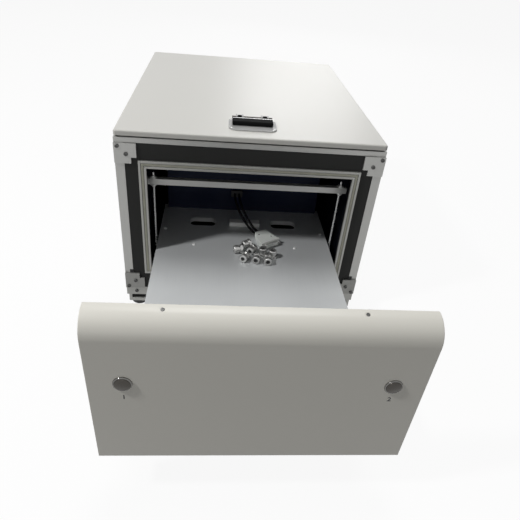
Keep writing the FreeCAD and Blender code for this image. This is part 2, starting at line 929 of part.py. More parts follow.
# Lead, plug and loose couplings
def lead(points):
    stops = [V(x, y, tray_top + up) for x, y, up in points]
    edges, spot, length, radii = [], stops[0], 0.0, []
    for before, at, after in zip(stops, stops[1:], stops[2:]):
        into, out = (at - before), (after - at)
        turn = into.getAngle(out)
        cut = bend_share * min(into.Length, out.Length)
        radius = cut / math.tan(turn / 2)
        into.normalize()
        out.normalize()
        start, end = at - into * cut, at + out * cut
        centre_way = (out - into).normalize()
        middle = at + centre_way * (radius / math.cos(turn / 2) - radius)
        edges.append(Part.LineSegment(spot, start).toShape())
        edges.append(Part.Arc(start, middle, end).toShape())
        length += (start - spot).Length + radius * turn
        radii.append(round(radius))
        spot = end
    edges.append(Part.LineSegment(spot, stops[-1]).toShape())
    length += (stops[-1] - spot).Length
    first = (stops[1] - stops[0]).normalize()
    ring = Part.Wire(Part.makeCircle(lead_r, stops[0], first))
    tube = Part.Wire(edges).makePipeShell([ring], True, False)
    ideal = math.pi * lead_r ** 2 * length
    print("lead radii", radii, "volume over ideal", round(tube.Volume / ideal, 4))
    return tube


def lead_grommet():
    x, z = grommet_w / 2, grommet_h / 2
    y = (back_front - grommet_d, back_front)
    return box((grommet_x - x, grommet_x + x), y, (grommet_z - z, grommet_z + z))


def lead_rest():
    return block_on(rest_x, rest_y, rest_w, rest_d, tray_top, rest_h)


def turned(shape):
    shape.rotate(V(0, 0, 0), V(0, 0, 1), hood_turn)
    shape.translate(V(hood_x, hood_y, tray_top))
    return shape


def plug_hood():
    half, over = hood_w / 2, hood_flange_over
    flat = [(-half, 0), (half, 0), (hood_back_right, hood_l), (hood_back_left, hood_l), (-half, hood_neck)]
    body = outline([(x, y, over) for x, y in flat]).extrude(V(0, 0, hood_h - over))
    flange = box((-half - over, half + over), (-hood_flange_t, 0), (0, hood_h + over))
    return turned(flange.fuse(body).removeSplitter())


def plug_shell():
    low = (hood_h + hood_flange_over - shell_h) / 2
    y = (-hood_flange_t - shell_l, -hood_flange_t)
    return turned(box((-shell_w / 2, shell_w / 2), y, (low, low + shell_h)))


def coupling():
    stem = rod((0, 0, 0), (0, 0, coupling_l), coupling_r)
    collar = hexagon((0, 0, 0), (0, 0, coupling_hex_h), coupling_af)
    hole = rod((0, 0, coupling_l - coupling_bore), (0, 0, coupling_l), coupling_bore_r)
    return stem.fuse(collar).removeSplitter().cut(hole)


def placed_coupling(x, y, heading):
    piece = coupling()
    up = 0.0
    if heading is not None:
        piece.translate(V(0, 0, -coupling_l / 2))
        piece.rotate(V(0, 0, 0), V(1, 0, 0), 90)
        piece.rotate(V(0, 0, 0), V(0, 0, 1), heading)
        up = -piece.BoundBox.ZMin
    piece.translate(V(x, y, tray_top + up))
    return piece


# Write every node
nodes = {
    "front_uprights": front_uprights(),
    "top_front_rail": rail(0, (front_top, frame_top)),
    "bottom_front_rail": bottom_front_rail(),
    "rear_frame": rear_frame(),
    "side_rails": side_rails(),
    "side_panels": side_panels(),
    "rear_panel": rear_panel(),
    "base_plate": base_plate(),
    "base_spacers": base_spacers(),
    "feet": feet(),
    "corner_brackets": corner_brackets(),
    "frame_screws": frame_screws(),
    "front_plate": front_plate(),
    "seal_rails_level": seal_rails_level(),
    "seal_rails_upright": seal_rails_upright(),
    "chamber_plates": chamber_plates(),
    "chamber_walls": chamber_walls(),
    "chamber_rear_wall": chamber_rear_wall(),
    "chamber_bearers": chamber_bearers(),
    "crossbar": crossbar(),
    "crossbar_posts": crossbar_posts(),
    "crossbar_nuts": crossbar_nuts(),
    "slide_supports": slide_supports(),
    "outer_slides": outer_slides(),
    "middle_slides": middle_slides(),
    "inner_slides": inner_slides(),
    "cylinder_caps": cylinder_caps(),
    "cylinder_tube": cylinder_tube(),
    "cylinder_rod": cylinder_rod(),
    "rod_mount": rod_mount(),
    "solenoid_valve": solenoid_valve(),
    "board_standoffs": standoffs(),
    "control_board": control_board(),
    "air_inlet": air_inlet(),
    "dc_inlet": dc_inlet(),
    "lid": lid(),
    "lid_gasket": lid_gasket(),
    "hinge_leaves": pair(hinge_leaf()),
    "lid_leaves": pair(lid_leaf()),
    "hinge_pins": pair(hinge_pin()),
    "handle_base": handle_base(),
    "handle_screws": handle_screws(),
    "handle_pin": handle_pin(),
    "handle_grip": handle_grip(),
    "tray": tray(),
    "drawer_screws": drawer_screws(),
    "tray_back_panel": tray_back_panel(),
    "door_panel": door_panel(),
    "door_back_plate": door_back_plate(),
    "door_seal": door_seal(),
    "button_bezels": pair(button_bezel()),
    "button_nuts": pair(button_nut()),
    "button_left": button(-1),
    "button_right": button(1),
    "lead_grommet": lead_grommet(),
    "lead_rest": lead_rest(),
    "leads": [lead(left_route), lead(right_route)],
    "plug_hood": plug_hood(),
    "plug_shell": plug_shell(),
    "loose_couplings": [placed_coupling(*c) for c in couplings],
}

for node, solids in nodes.items():
    save(node, solids)
print(len(nodes), "nodes; origin at y", origin_y, "door front", door_front)
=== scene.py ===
import json
import math

import bmesh
import bpy
from mathutils import Matrix, Vector


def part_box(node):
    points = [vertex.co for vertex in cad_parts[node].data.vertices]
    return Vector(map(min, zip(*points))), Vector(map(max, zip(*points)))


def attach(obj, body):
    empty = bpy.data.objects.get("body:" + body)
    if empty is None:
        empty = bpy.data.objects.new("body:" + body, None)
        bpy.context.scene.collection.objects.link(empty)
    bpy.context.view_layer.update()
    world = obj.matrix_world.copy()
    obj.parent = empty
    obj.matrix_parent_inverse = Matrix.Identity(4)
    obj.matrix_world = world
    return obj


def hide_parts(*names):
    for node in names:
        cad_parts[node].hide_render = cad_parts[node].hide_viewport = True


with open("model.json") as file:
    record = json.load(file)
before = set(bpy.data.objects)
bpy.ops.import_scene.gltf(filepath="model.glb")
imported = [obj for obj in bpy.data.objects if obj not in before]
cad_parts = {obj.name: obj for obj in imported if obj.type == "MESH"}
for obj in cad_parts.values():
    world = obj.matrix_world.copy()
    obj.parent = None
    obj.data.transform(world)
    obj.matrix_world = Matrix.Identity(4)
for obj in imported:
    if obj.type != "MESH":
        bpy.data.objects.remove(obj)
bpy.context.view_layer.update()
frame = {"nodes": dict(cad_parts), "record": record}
scene = bpy.context.scene
cad = frame["nodes"]
bodyOf = {node: body for body, members in frame["record"]["behaviour"]["bodies"].items() for node in members}
mm = 0.001
mergeDistance = 1e-6
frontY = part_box("front_plate")[0].y  # the frame's front face
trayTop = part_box("tray")[1].z
front, back, upward = (0, -1, 0), (0, 1, 0), (0, 0, 1)
white = (1, 1, 1, 1)
print("frame loaded:", len(cad), "nodes")


# small helpers

def linkObject(name, data):
    made = bpy.data.objects.new(name, data)
    scene.collection.objects.link(made)
    return made


def closeWork(name, work, finishes):
    mesh = bpy.data.meshes.new(name)
    work.to_mesh(mesh)
    work.free()
    for finish in finishes:
        mesh.materials.append(finish)
    return mesh


# pieces are called after the nodes they stand for, apart from these
otherNames = {"crossbar": "crossbarEased", "tray": "traySheetPiece", "feet": "rubberFeet",
              "button_left": "buttonCapLeft", "button_right": "buttonCapRight"}


def pieceName(node):
    first, *rest = node.split("_")
    return otherNames.get(node, first + "".join(word.capitalize() for word in rest))


def middle(box):
    return (box[0] + box[1]) / 2


def overTray(x, y, up=0.0):
    # from mm across, back from the frame's front and up from the tray
    return x * mm, y * mm + frontY, trayTop + up * mm


def feed(tree, node, inputs):
    # sockets are linked, plain values are set
    for key, value in inputs.items():
        if isinstance(value, bpy.types.NodeSocket):
            tree.links.new(value, node.inputs[key])
        else:
            node.inputs[key].default_value = value
    return node


def addNode(tree, kind, inputs=None, **settings):
    node = tree.nodes.new(kind)
    for key, value in settings.items():
        setattr(node, key, value)
    return feed(tree, node, inputs or {})


def addSum(tree, operation, *values, **settings):
    # result of a Math node
    return addNode(tree, "ShaderNodeMath", dict(enumerate(values)), operation=operation, **settings).outputs[0]


def addRange(tree, value, ends):
    # result of a Map Range node
    return addNode(tree, "ShaderNodeMapRange", {"Value": value, **ends}).outputs["Result"]


def addSocket(tree, label, kind, value=None, way="INPUT"):
    socket = tree.interface.new_socket(name=label, in_out=way, socket_type=kind)
    if value is not None:
        socket.default_value = value


def settle(piece, body, *replaced, slot=None):
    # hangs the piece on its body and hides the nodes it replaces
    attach(piece, body)
    if replaced:
        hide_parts(*replaced)
    return piece


# camera and light

cameraView = {"place": (-0.0656, -0.9413, 0.7116), "turn": (54.953, -4.693, -3.246),
              "lens": 33.36, "sensor": 36.0, "shift": (0.0031, 0.0083), "clip": (0.02, 50.0)}
lamps = {
    "keyLamp": {"place": (-1.75, -0.86, 2.2), "aim": (-0.02, -0.15, 0.25), "size": 0.28, "power": 36},
    "rearLamp": {"place": (0.65, 3.4, 1.55), "aim": (0.05, 0.2, 0.4), "size": 1.3, "power": 10.5},
    "ceilingLamp": {"place": (0.1, 1.02, 4.5), "aim": (0.0, -0.1, 0.3), "size": 2.0, "power": 67},
    "frontLamp": {"place": (-0.6, -3.5, 0.62), "aim": (0.0, -0.5, 0.2), "size": 1.0, "power": 4.6},
}
roomLight = {"ambient": 0.125, "floorLift": 0.92, "floorSeen": 0.97, "floorBounce": 0.26, "floorReach": 40.0}


def makeCamera(view):
    data = bpy.data.cameras.new("photoCamera")
    data.sensor_width = view["sensor"]
    data.lens = view["lens"]
    data.shift_x, data.shift_y = view["shift"]
    data.clip_start, data.clip_end = view["clip"]
    camera = linkObject("photoCamera", data)
    camera.location = view["place"]
    camera.rotation_euler = [math.radians(a) for a in view["turn"]]
    scene.camera = camera


def makeLamp(name, lamp):
    data = bpy.data.lights.new(name, "AREA")
    data.shape = "DISK"
    data.size = lamp["size"]
    data.energy = lamp["power"]
    made = linkObject(name, data)
    made.location = lamp["place"]
    made.rotation_euler = (Vector(lamp["aim"]) - made.location).to_track_quat("-Z", "Y").to_euler()


def seenRay(tree):
    # 1 for camera, glossy and transmission rays
    path = addNode(tree, "ShaderNodeLightPath").outputs
    seen = addSum(tree, "MAXIMUM", path["Is Camera Ray"], path["Is Glossy Ray"])
    return addSum(tree, "MAXIMUM", seen, path["Is Transmission Ray"])


def makeWorld(light):
    world = bpy.data.worlds.new("studio")
    scene.world = world
    world.use_nodes = True
    tree = world.node_tree
    strength = addRange(tree, seenRay(tree), {"To Min": light["ambient"], "To Max": 1.0})
    feed(tree, tree.nodes["Background"], {"Color": white, "Strength": strength})


def makeFloor(light):
    reach = light["floorReach"]
    mesh = bpy.data.meshes.new("floor")
    corners = [(-reach, -reach, 0), (reach, -reach, 0), (reach, reach, 0), (-reach, reach, 0)]
    mesh.from_pydata(corners, [], [(0, 1, 2, 3)])
    paper = bpy.data.materials.new("floorPaper")
    paper.use_nodes = True
    tree = paper.node_tree
    tree.nodes.remove(tree.nodes["Principled BSDF"])
    seen = seenRay(tree)
    tone = addRange(tree, seen, {"To Min": light["floorBounce"], "To Max": light["floorSeen"]})
    matt = addNode(tree, "ShaderNodeBsdfDiffuse", {"Color": tone})
    glow = addNode(tree, "ShaderNodeEmission", {"Color": white})
    share = addSum(tree, "MULTIPLY", seen, light["floorLift"])
    blend = addNode(tree, "ShaderNodeMixShader", {0: share, 1: matt.outputs[0], 2: glow.outputs[0]})
    feed(tree, tree.nodes["Material Output"], {"Surface": blend.outputs[0]})
    mesh.materials.append(paper)
    linkObject("floor", mesh)


scene.view_settings.view_transform = "Standard"
makeCamera(cameraView)
for lampName, lamp in lamps.items():
    makeLamp(lampName, lamp)
makeWorld(roomLight)
makeFloor(roomLight)
print("camera, lamps and floor set")


# finishes: shared groups first

number, colour, vector = "NodeSocketFloat", "NodeSocketColor", "NodeSocketVector"
skinOutputs = [("Color", colour), ("Roughness", number), ("Height", number)]


def makeGroup(name, inputs, outputs):
    # the group, what it is fed, its output node and the place on the piece
    group = bpy.data.node_groups.new(name, "ShaderNodeTree")
    for row in inputs:
        addSocket(group, *row)
    for label, kind in outputs:
        addSocket(group, label, kind, way="OUTPUT")
    return (group, group.nodes.new("NodeGroupInput").outputs, group.nodes.new("NodeGroupOutput"),
            addNode(group, "ShaderNodeTexCoord").outputs["Object"])


def addNoise(group, place, **inputs):
    return addNode(group, "ShaderNodeTexNoise", {"Vector": place, **inputs}).outputs[0]


def closeSkin(group, fed, out, minor, major, share, height):
    # both noises, centred on zero, shade the colour and spread the roughness
    both = addSum(group, "MULTIPLY_ADD", minor, share, major)
    centred = addSum(group, "SUBTRACT", both, (1 + share) / 2)
    tone = addSum(group, "MULTIPLY_ADD", centred, fed["Shade"], 1.0)
    tinted = addNode(group, "ShaderNodeVectorMath", {0: fed["Color"], "Scale": tone}, operation="SCALE")
    gloss = addSum(group, "MULTIPLY_ADD", centred, fed["Spread"], fed["Roughness"], use_clamp=True)
    feed(group, out, {"Color": tinted.outputs[0], "Roughness": gloss, "Height": height})
    return group


def makeCoatGroup():
    # even coats and moulded skins: fine grain, broad cloudiness, hand marks in the gloss
    group, fed, out, place = makeGroup("coatGrain", [
        ("Color", colour, (0.5, 0.5, 0.5, 1)), ("Shade", number, 0.05), ("Grain Scale", number, 900.0),
        ("Broad Scale", number, 7.0), ("Roughness", number, 0.4), ("Spread", number, 0.1)], skinOutputs)
    fine = addNoise(group, place, Scale=fed["Grain Scale"], Detail=3.0, Roughness=0.6)
    broad = addNoise(group, place, Scale=fed["Broad Scale"], Detail=4.0, Roughness=0.55)
    return closeSkin(group, fed, out, fine, broad, 0.35, fine)


def makeBrushGroup():
    # drawn and brushed metal: lines run along the axis with the smallest stretch
    group, fed, out, place = makeGroup("brushLines", [
        ("Color", colour, (0.6, 0.6, 0.6, 1)), ("Shade", number, 0.15), ("Stretch", vector, (6, 900, 900)),
        ("Roughness", number, 0.4), ("Spread", number, 0.2)], skinOutputs)
    pulled = addNode(group, "ShaderNodeVectorMath", {0: place, 1: fed["Stretch"]}, operation="MULTIPLY")
    lines = addNoise(group, pulled.outputs[0], Scale=1.0, Detail=4.0, Roughness=0.7)
    cloud = addNoise(group, place, Scale=9.0, Detail=3.0)
    return closeSkin(group, fed, out, cloud, lines, 0.6, lines)


def makeEdgeGroup():
    # where hands and assembly have rubbed the edges
    group, fed, out, place = makeGroup("edgeRub", [("Radius", number, 0.0012), ("Amount", number, 0.6)],
                                       [("Mask", number)])
    rounded = addNode(group, "ShaderNodeBevel", {"Radius": fed["Radius"]}, samples=4).outputs[0]
    plain = addNode(group, "ShaderNodeNewGeometry").outputs["Normal"]
    facing = addNode(group, "ShaderNodeVectorMath", {0: rounded, 1: plain}, operation="DOT_PRODUCT")
    edge = addRange(group, facing.outputs["Value"], {"From Min": 0.995, "From Max": 0.86})
    patches = addNoise(group, place, Scale=60.0, Detail=4.0)
    worn = addSum(group, "MULTIPLY", edge, addRange(group, patches, {"From Min": 0.35, "From Max": 0.65}))
    feed(group, out, {"Mask": addSum(group, "MULTIPLY", worn, fed["Amount"], use_clamp=True)})
    return group


coatGroup, brushGroup, edgeGroup = makeCoatGroup(), makeBrushGroup(), makeEdgeGroup()

# depth of the bump and width of the rubbed edge in mm
plainLook = dict(slot=None, metal=0.0, specular=0.5, spread=0.2, broad=7.0, bump=0.15, depth=0.05,
                 edgeWidth=1.2, edgeAmount=0.6)


def makeFinish(name, base=plainLook, **changes):
    look = {**plainLook, **base, **changes}
    finish = bpy.data.materials.new(name)
    finish.use_nodes = True
    tree = finish.node_tree
    values = {"Color": (*look["colour"], 1), "Shade": look["shade"], "Roughness": look["rough"],
              "Spread": look["spread"]}
    if "stretch" in look:
        skin = addNode(tree, "ShaderNodeGroup", {**values, "Stretch": look["stretch"]}, node_tree=brushGroup)
    else:
        values.update({"Grain Scale": look["grain"], "Broad Scale": look["broad"]})
        skin = addNode(tree, "ShaderNodeGroup", values, node_tree=coatGroup)
    top = skin.outputs["Color"]
    if "edge" in look:
        rub = addNode(tree, "ShaderNodeGroup", {"Radius": look["edgeWidth"] * mm, "Amount": look["edgeAmount"]},
                      node_tree=edgeGroup)
        # in a colour mix, inputs 6 and 7 and output 2 are the colours
        mix = addNode(tree, "ShaderNodeMix", {0: rub.outputs["Mask"], 6: top, 7: (*look["edge"], 1)}, data_type="RGBA")
        top = mix.outputs[2]
    bump = addNode(tree, "ShaderNodeBump", {"Strength": look["bump"], "Distance": look["depth"] * mm,
                                            "Height": skin.outputs["Height"]})
    feed(tree, tree.nodes["Principled BSDF"], {
        "Metallic": look["metal"], "Specular IOR Level": look["specular"], "Base Color": top,
        "Roughness": skin.outputs["Roughness"], "Normal": bump.outputs[0]})
    return finish


paint = dict(slot="grey_paint", rough=0.36, spread=0.1, shade=0.05, grain=1100, broad=5, bump=0.12, depth=0.1,
    edgeAmount=0.5)
warmPaint = makeFinish("warmPaint", paint, colour=(0.62, 0.612, 0.575), edge=(0.72, 0.71, 0.68))
# painted light: the same paint made lighter for the door, standing in for the light on its front
doorPaintLit = makeFinish("doorPaintLit", paint, colour=(0.79, 0.772, 0.705), rough=0.38, edge=(0.82, 0.80, 0.75))

along = alongX, alongY, alongZ = (7, 1100, 1100), (1100, 7, 1100), (1100, 1100, 7)
satinAlloy = dict(slot="satin_aluminium", colour=(0.44, 0.44, 0.425), metal=0.6, rough=0.42, spread=0.3, shade=0.22,
    edge=(0.8, 0.8, 0.79), edgeAmount=0.7)
ringAlloy = {**satinAlloy, "colour": (0.36, 0.36, 0.342), "edge": (0.6, 0.6, 0.58)}
satinAlloyX = makeFinish("satinAlloyX", satinAlloy, stretch=alongX)
satinAlloyZ = makeFinish("satinAlloyZ", satinAlloy, stretch=alongZ)
satinAlloyY = makeFinish("satinAlloyY", satinAlloy, colour=(0.58, 0.58, 0.57), metal=0.9, shade=0.2, stretch=alongY,
    edge=(0.78, 0.78, 0.77), edgeAmount=0.6)
# painted shade: a darker copy of the satin alloy for the lower corner brackets
shadedAlloyX = makeFinish("shadedAlloyX", satinAlloy, colour=(0.27, 0.27, 0.258), rough=0.45, stretch=alongX,
    edge=(0.62, 0.62, 0.6))
fixtureAlloy = makeFinish("fixtureAlloy", satinAlloy, colour=(0.62, 0.62, 0.60), metal=0.35, rough=0.45, shade=0.2,
    stretch=alongX)
ringAlloyX, ringAlloyY, ringAlloyZ = (
    makeFinish("ringAlloy" + axis, ringAlloy, stretch=lines) for axis, lines in zip("XYZ", along))
traySheet = makeFinish("traySheet", slot="tray_sheet", colour=(0.60, 0.615, 0.62), metal=0.25, rough=0.46,
    shade=0.12, stretch=(900, 8, 900), bump=0.06, edge=(0.66, 0.66, 0.66))

chamberCoat = dict(slot="black_sheet", colour=(0.010, 0.015, 0.040), rough=0.34, specular=0.14, spread=0.15,
    shade=0.15, stretch=(700, 700, 5), bump=0.12)
chamberBlack = makeFinish("chamberBlack", chamberCoat)
# painted shade: a darker copy of the chamber coat for the side walls
shadedWallBlack = makeFinish("shadedWallBlack", chamberCoat, colour=(0.0065, 0.0075, 0.0125))
mattBlack = dict(slot="black_plastic", colour=(0.012, 0.012, 0.012), rough=0.6, shade=0.2, grain=1800, bump=0.3,
    depth=0.1)
blackCoat = makeFinish("blackCoat", mattBlack, slot="black_sheet", colour=(0.012, 0.0122, 0.0115), specular=0.24,
    shade=0.3, grain=1300, broad=12, edge=(0.06, 0.06, 0.06), edgeAmount=0.7)
blackPlastic = makeFinish("blackPlastic", mattBlack, specular=0.16, broad=30, edge=(0.05, 0.05, 0.05), edgeAmount=0.5)
gripBlack = makeFinish("gripBlack", mattBlack, colour=(0.010, 0.010, 0.0105), rough=0.8, specular=0.05, spread=0.15,
    broad=40)
blackRubber = makeFinish("blackRubber", mattBlack, slot="black_rubber", colour=(0.014, 0.014, 0.015), rough=0.62,
    shade=0.25, grain=1500, broad=40, bump=0.35, depth=0.15)
leadJacket = makeFinish("leadJacket", slot="black_rubber", colour=(0.016, 0.016, 0.017), rough=0.24, shade=0.3,
    grain=1600, broad=50, depth=0.1)

turned = dict(slot="bright_steel", metal=1.0, grain=1400, broad=60, bump=0.08, depth=0.04)
# painted reflection: a dark colour for the bezels, standing in for the dark room they mirror
bezelSteel = makeFinish("bezelSteel", turned, colour=(0.15, 0.147, 0.14), rough=0.17, shade=0.2)
turnedSteel = makeFinish("turnedSteel", turned, colour=(0.50, 0.50, 0.495), rough=0.26, shade=0.12)
screwHead = dict(slot="bright_steel", rough=0.3, grain=1200, broad=120, depth=0.04)
# painted highlight: near-white heads for the glints on small screws, washers and the plug's rim
highlightWhiteHead = makeFinish("highlightWhiteHead", screwHead, colour=(0.92, 0.92, 0.91), metal=0.2, shade=0.15, bump=0.1)
boltSteel = makeFinish("boltSteel", screwHead, colour=(0.085, 0.085, 0.083), metal=0.9, spread=0.25, shade=0.3,
    bump=0.12, edge=(0.4, 0.4, 0.39), edgeWidth=0.5)
# painted reflection: on the button caps the dark colour stands in for the dark room they mirror; the handle pin takes
# it too
darkSteelAndReflection = makeFinish("darkSteelAndReflection", slot="dark_steel", colour=(0.065, 0.06, 0.054), metal=0.8, rough=0.3, spread=0.3,
    shade=0.25, stretch=(60, 60, 1600))
zincSteel = makeFinish("zincSteel", colour=(0.50, 0.51, 0.52), metal=0.95, rough=0.34, spread=0.35, shade=0.2,
    grain=500, broad=45, bump=0.1)
castZinc = makeFinish("castZinc", slot="bright_steel", colour=(0.37, 0.37, 0.365), metal=0.3, rough=0.5,
    specular=0.3, shade=0.15, grain=900, broad=50, bump=0.12, edge=(0.7, 0.7, 0.69), edgeAmount=0.8)
nickelPlate = makeFinish("nickelPlate", slot="nickel", colour=(0.48, 0.48, 0.47), metal=0.85, rough=0.4, spread=0.3,
    shade=0.3, grain=900, broad=90, bump=0.12, edge=(0.75, 0.74, 0.7))
sealMesh = makeFinish("sealMesh", slot="nickel", colour=(0.27, 0.268, 0.222), metal=0.55, rough=0.5, spread=0.4,
    shade=0.5, grain=2600, broad=60, bump=0.8, depth=0.4)

lightPlastic = dict(slot="light_plastic", shade=0.1, grain=1600, broad=40, depth=0.08)
paleBlock = makeFinish("paleBlock", lightPlastic, colour=(0.90, 0.90, 0.88), rough=0.4)
lightShell = makeFinish("lightShell", lightPlastic, colour=(0.84, 0.87, 0.83), metal=0.1, rough=0.34,
    edge=(0.7, 0.7, 0.68))
boardGreen = makeFinish("boardGreen", slot="green_board", colour=(0.02, 0.13, 0.055), rough=0.32, shade=0.35,
    grain=700, broad=120, bump=0.2, depth=0.1)
boxPlastic = dict(slot="black_plastic", spread=0.15, shade=0.15, grain=1500, bump=0.2, depth=0.1)
terminalGreen = makeFinish("terminalGreen", boxPlastic, colour=(0.05, 0.26, 0.10), rough=0.4)
relayBlue = makeFinish("relayBlue", boxPlastic, colour=(0.03, 0.08, 0.26), rough=0.36)
printInk = makeFinish("printInk", boxPlastic, colour=(0.03, 0.03, 0.032), rough=0.5, shade=0.3, grain=2500, bump=0.1)
print("finishes made:", len(bpy.data.materials))


# leads first: the same route points as the solids, across, back and up from the tray, in mm

leads = {
    "diameter": 0.0052,
    "leadLeft": {"length": 0.1312, "route": [
        (-21, 175, 46), (-21, 163, 46), (-19.5, 151, 43), (-15.5, 137, 36), (-9, 121, 27),
        (-0.5, 106, 18), (8, 92.5, 11.5), (15.6, 81, 8), (21.3, 72.3, 7), (26.8, 63.9, 7)]},
    "leadRight": {"length": 0.1260, "route": [
        (-11, 175, 46), (-11, 163, 46), (-9.5, 151, 43), (-5.5, 137, 36), (1, 122, 27),
        (9, 108, 18), (16.8, 95.5, 11.5), (23.2, 86, 8), (28.9, 77.3, 7), (34.4, 68.9, 7)]},
}


def makeLead(name, route):
    data = bpy.data.curves.new(name, "CURVE")
    data.dimensions = "3D"
    data.bevel_depth = leads["diameter"] / 2
    data.use_fill_caps = True
    data.bevel_resolution = 6
    data.resolution_u = 10
    spline = data.splines.new("NURBS")
    spline.points.add(len(route) - 1)
    for point, spot in zip(spline.points, route):
        point.co = (*overTray(*spot), 1)
    spline.order_u = 3
    spline.use_endpoint_u = True
    data.materials.append(leadJacket)
    return linkObject(name, data)


leadPieces = {name: makeLead(name, leads[name]["route"]) for name in ("leadLeft", "leadRight")}
print("leads laid")


# CAD solids with their edges eased

sharpAngle, flatAngle = math.radians(38), math.radians(0.4)
roundSteps = 3
outlineReach = 0.05  # mm


def mergedCopy(node):
    work = bmesh.new()
    work.from_mesh(cad[node].data)
    bmesh.ops.remove_doubles(work, verts=work.verts, dist=mergeDistance)
    return work


def islandBoxes(node):
    # box of each separate solid in a node, in order of place
    work = mergedCopy(node)
    left, boxes = set(work.verts), []
    while left:
        stack, group = [left.pop()], []
        while stack:
            vert = stack.pop()
            group.append(vert.co.copy())
            for edge in vert.link_edges:
                other = edge.other_vert(vert)
                if other in left:
                    left.remove(other)
                    stack.append(other)
        boxes.append(tuple(Vector([end(c[i] for c in group) for i in range(3)]) for end in (min, max)))
    work.free()
    return sorted(boxes, key=lambda box: [round(c, 4) for c in middle(box)])


def bakeMesh(piece):
    # modifiers into a plain mesh
    view = bpy.context.evaluated_depsgraph_get()
    mesh = bpy.data.meshes.new_from_object(piece.evaluated_get(view), depsgraph=view)
    piece.modifiers.clear()
    old = piece.data
    piece.data = mesh
    bpy.data.meshes.remove(old)
    return piece


def markOutline(work, low, high):
    # on the folded door only the sides and the foot are eased: its small holes would hold the rounds back
    weight, reach = work.edges.layers.float.new("bevel_weight_edge"), outlineReach * mm
    for edge in work.edges:
        if len(edge.link_faces) != 2 or edge.calc_face_angle() < sharpAngle:
            continue
        ends = [vert.co for vert in edge.verts]
        side = all(abs(abs(end.x) - high.x) < reach for end in ends)
        foot = all(end.z - low.z < reach for end in ends)
        edge[weight] = float(side or foot)
        edge.smooth = side or foot


def easeEdges(piece, width, limit="ANGLE"):
    # small rounds on sharp edges, broad faces kept flat in the light
    piece.data.shade_smooth()
    easing = piece.modifiers.new("easing", "BEVEL")
    easing.width = width * mm
    easing.segments = roundSteps
    easing.limit_method = limit
    easing.angle_limit = sharpAngle
    easing.use_clamp_overlap = limit == "ANGLE"
    facing = piece.modifiers.new("facing", "WEIGHTED_NORMAL")
    facing.weight = 100
    facing.keep_sharp = True
    return bakeMesh(piece)


def eased(node, width, finish, limit="ANGLE"):
    low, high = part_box(node)
    name = pieceName(node)
    work = mergedCopy(node)
    bmesh.ops.dissolve_limit(work, angle_limit=flatAngle, use_dissolve_boundaries=False,
                             verts=work.verts, edges=work.edges)
    if limit == "WEIGHT":
        markOutline(work, low, high)
    piece = easeEdges(linkObject(name, closeWork(name, work, [finish])), width, limit)
    for vert in piece.data.vertices:
        vert.co = [min(max(c, l), h) for c, l, h in zip(vert.co, low, high)]
    return settle(piece, bodyOf[node], node)


easedNodes = {  # width of the rounds in mm, and the finish
    "front_uprights": (0.8, satinAlloyZ), "top_front_rail": (0.8, satinAlloyX),
    "bottom_front_rail": (0.8, ringAlloyX), "side_rails": (0.8, satinAlloyY),
    "corner_brackets": (0.5, satinAlloyX), "seal_rails_level": (0.5, ringAlloyX),
    "seal_rails_upright": (0.5, ringAlloyZ), "crossbar": (0.6, fixtureAlloy), "front_plate": (0.4, blackCoat),
    "side_panels": (0.5, warmPaint), "rear_panel": (0.5, warmPaint), "base_plate": (0.8, ringAlloyY),
    "base_spacers": (0.6, blackCoat), "door_panel": (1.2, doorPaintLit, "WEIGHT"),
    "door_back_plate": (0.4, satinAlloyX), "tray": (0.4, traySheet), "tray_back_panel": (0.5, chamberBlack),
    "handle_base": (0.4, castZinc), "handle_grip": (0.8, gripBlack), "lead_rest": (0.8, paleBlock),
    "plug_hood": (0.8, lightShell), "lead_grommet": (1.5, blackRubber), "cylinder_caps": (0.8, satinAlloyY),
    "rod_mount": (0.8, satinAlloyY), "dc_inlet": (0.5, blackPlastic), "air_inlet": (0.4, nickelPlate),
}
easedPieces = {node: eased(node, *row) for node, row in easedNodes.items()}


def shadeLowerHalf(piece, finish):
    # painted shade: the lower half of a piece takes a second, darker finish
    split = middle(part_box("corner_brackets")).z
    piece.data.materials.append(finish)
    for face in piece.data.polygons:
        face.material_index = int(face.center.z < split)


shadeLowerHalf(easedPieces["corner_brackets"], shadedAlloyX)
print("edges eased:", len(easedPieces))


# turned and repeated parts, made with geometry nodes

geometry, material = "NodeSocketGeometry", "NodeSocketMaterial"
acrossCorners = 0.57735  # a hexagon's corner radius against its width
crossArm = 0.24  # a cross slot's arm against its length
domeWide, domeFlat = 0.605, 0.62  # the ball that chamfers a nut, against its width


def startTree(name, inputs):
    tree = bpy.data.node_groups.new(name, "GeometryNodeTree")
    tree.is_modifier = True
    addSocket(tree, "Geometry", geometry)
    for label, value in inputs:
        addSocket(tree, label, number, value)
    addSocket(tree, "Material", material)
    addSocket(tree, "Geometry", geometry, way="OUTPUT")
    return tree, tree.nodes.new("NodeGroupInput").outputs


def joinXyz(tree, **parts):
    return addNode(tree, "ShaderNodeCombineXYZ", parts).outputs[0]


def lifted(tree, shape, up, scale=(1, 1, 1)):
    moved = addNode(tree, "GeometryNodeTransform", {
        "Geometry": shape, "Translation": joinXyz(tree, Z=up), "Scale": scale})
    return moved.outputs["Geometry"]


def barrel(tree, sides, rings, radius, length, lift):
    # a closed cylinder whose foot is at height lift
    made = addNode(tree, "GeometryNodeMeshCylinder", {
        "Vertices": sides, "Side Segments": rings, "Radius": radius, "Depth": length})
    return lifted(tree, made.outputs["Mesh"], addSum(tree, "MULTIPLY_ADD", length, 0.5, lift))


def cutAway(tree, body, tool, operation="DIFFERENCE"):
    cut = addNode(tree, "GeometryNodeMeshBoolean", operation=operation, solver="EXACT")
    feed(tree, cut, {"Mesh 1" if operation == "DIFFERENCE" else "Mesh 2": body})
    return feed(tree, cut, {"Mesh 2": tool}).outputs["Mesh"]


def stored(tree, name, kind):
    return addNode(tree, "GeometryNodeInputNamedAttribute", {"Name": name}, data_type=kind).outputs["Attribute"]


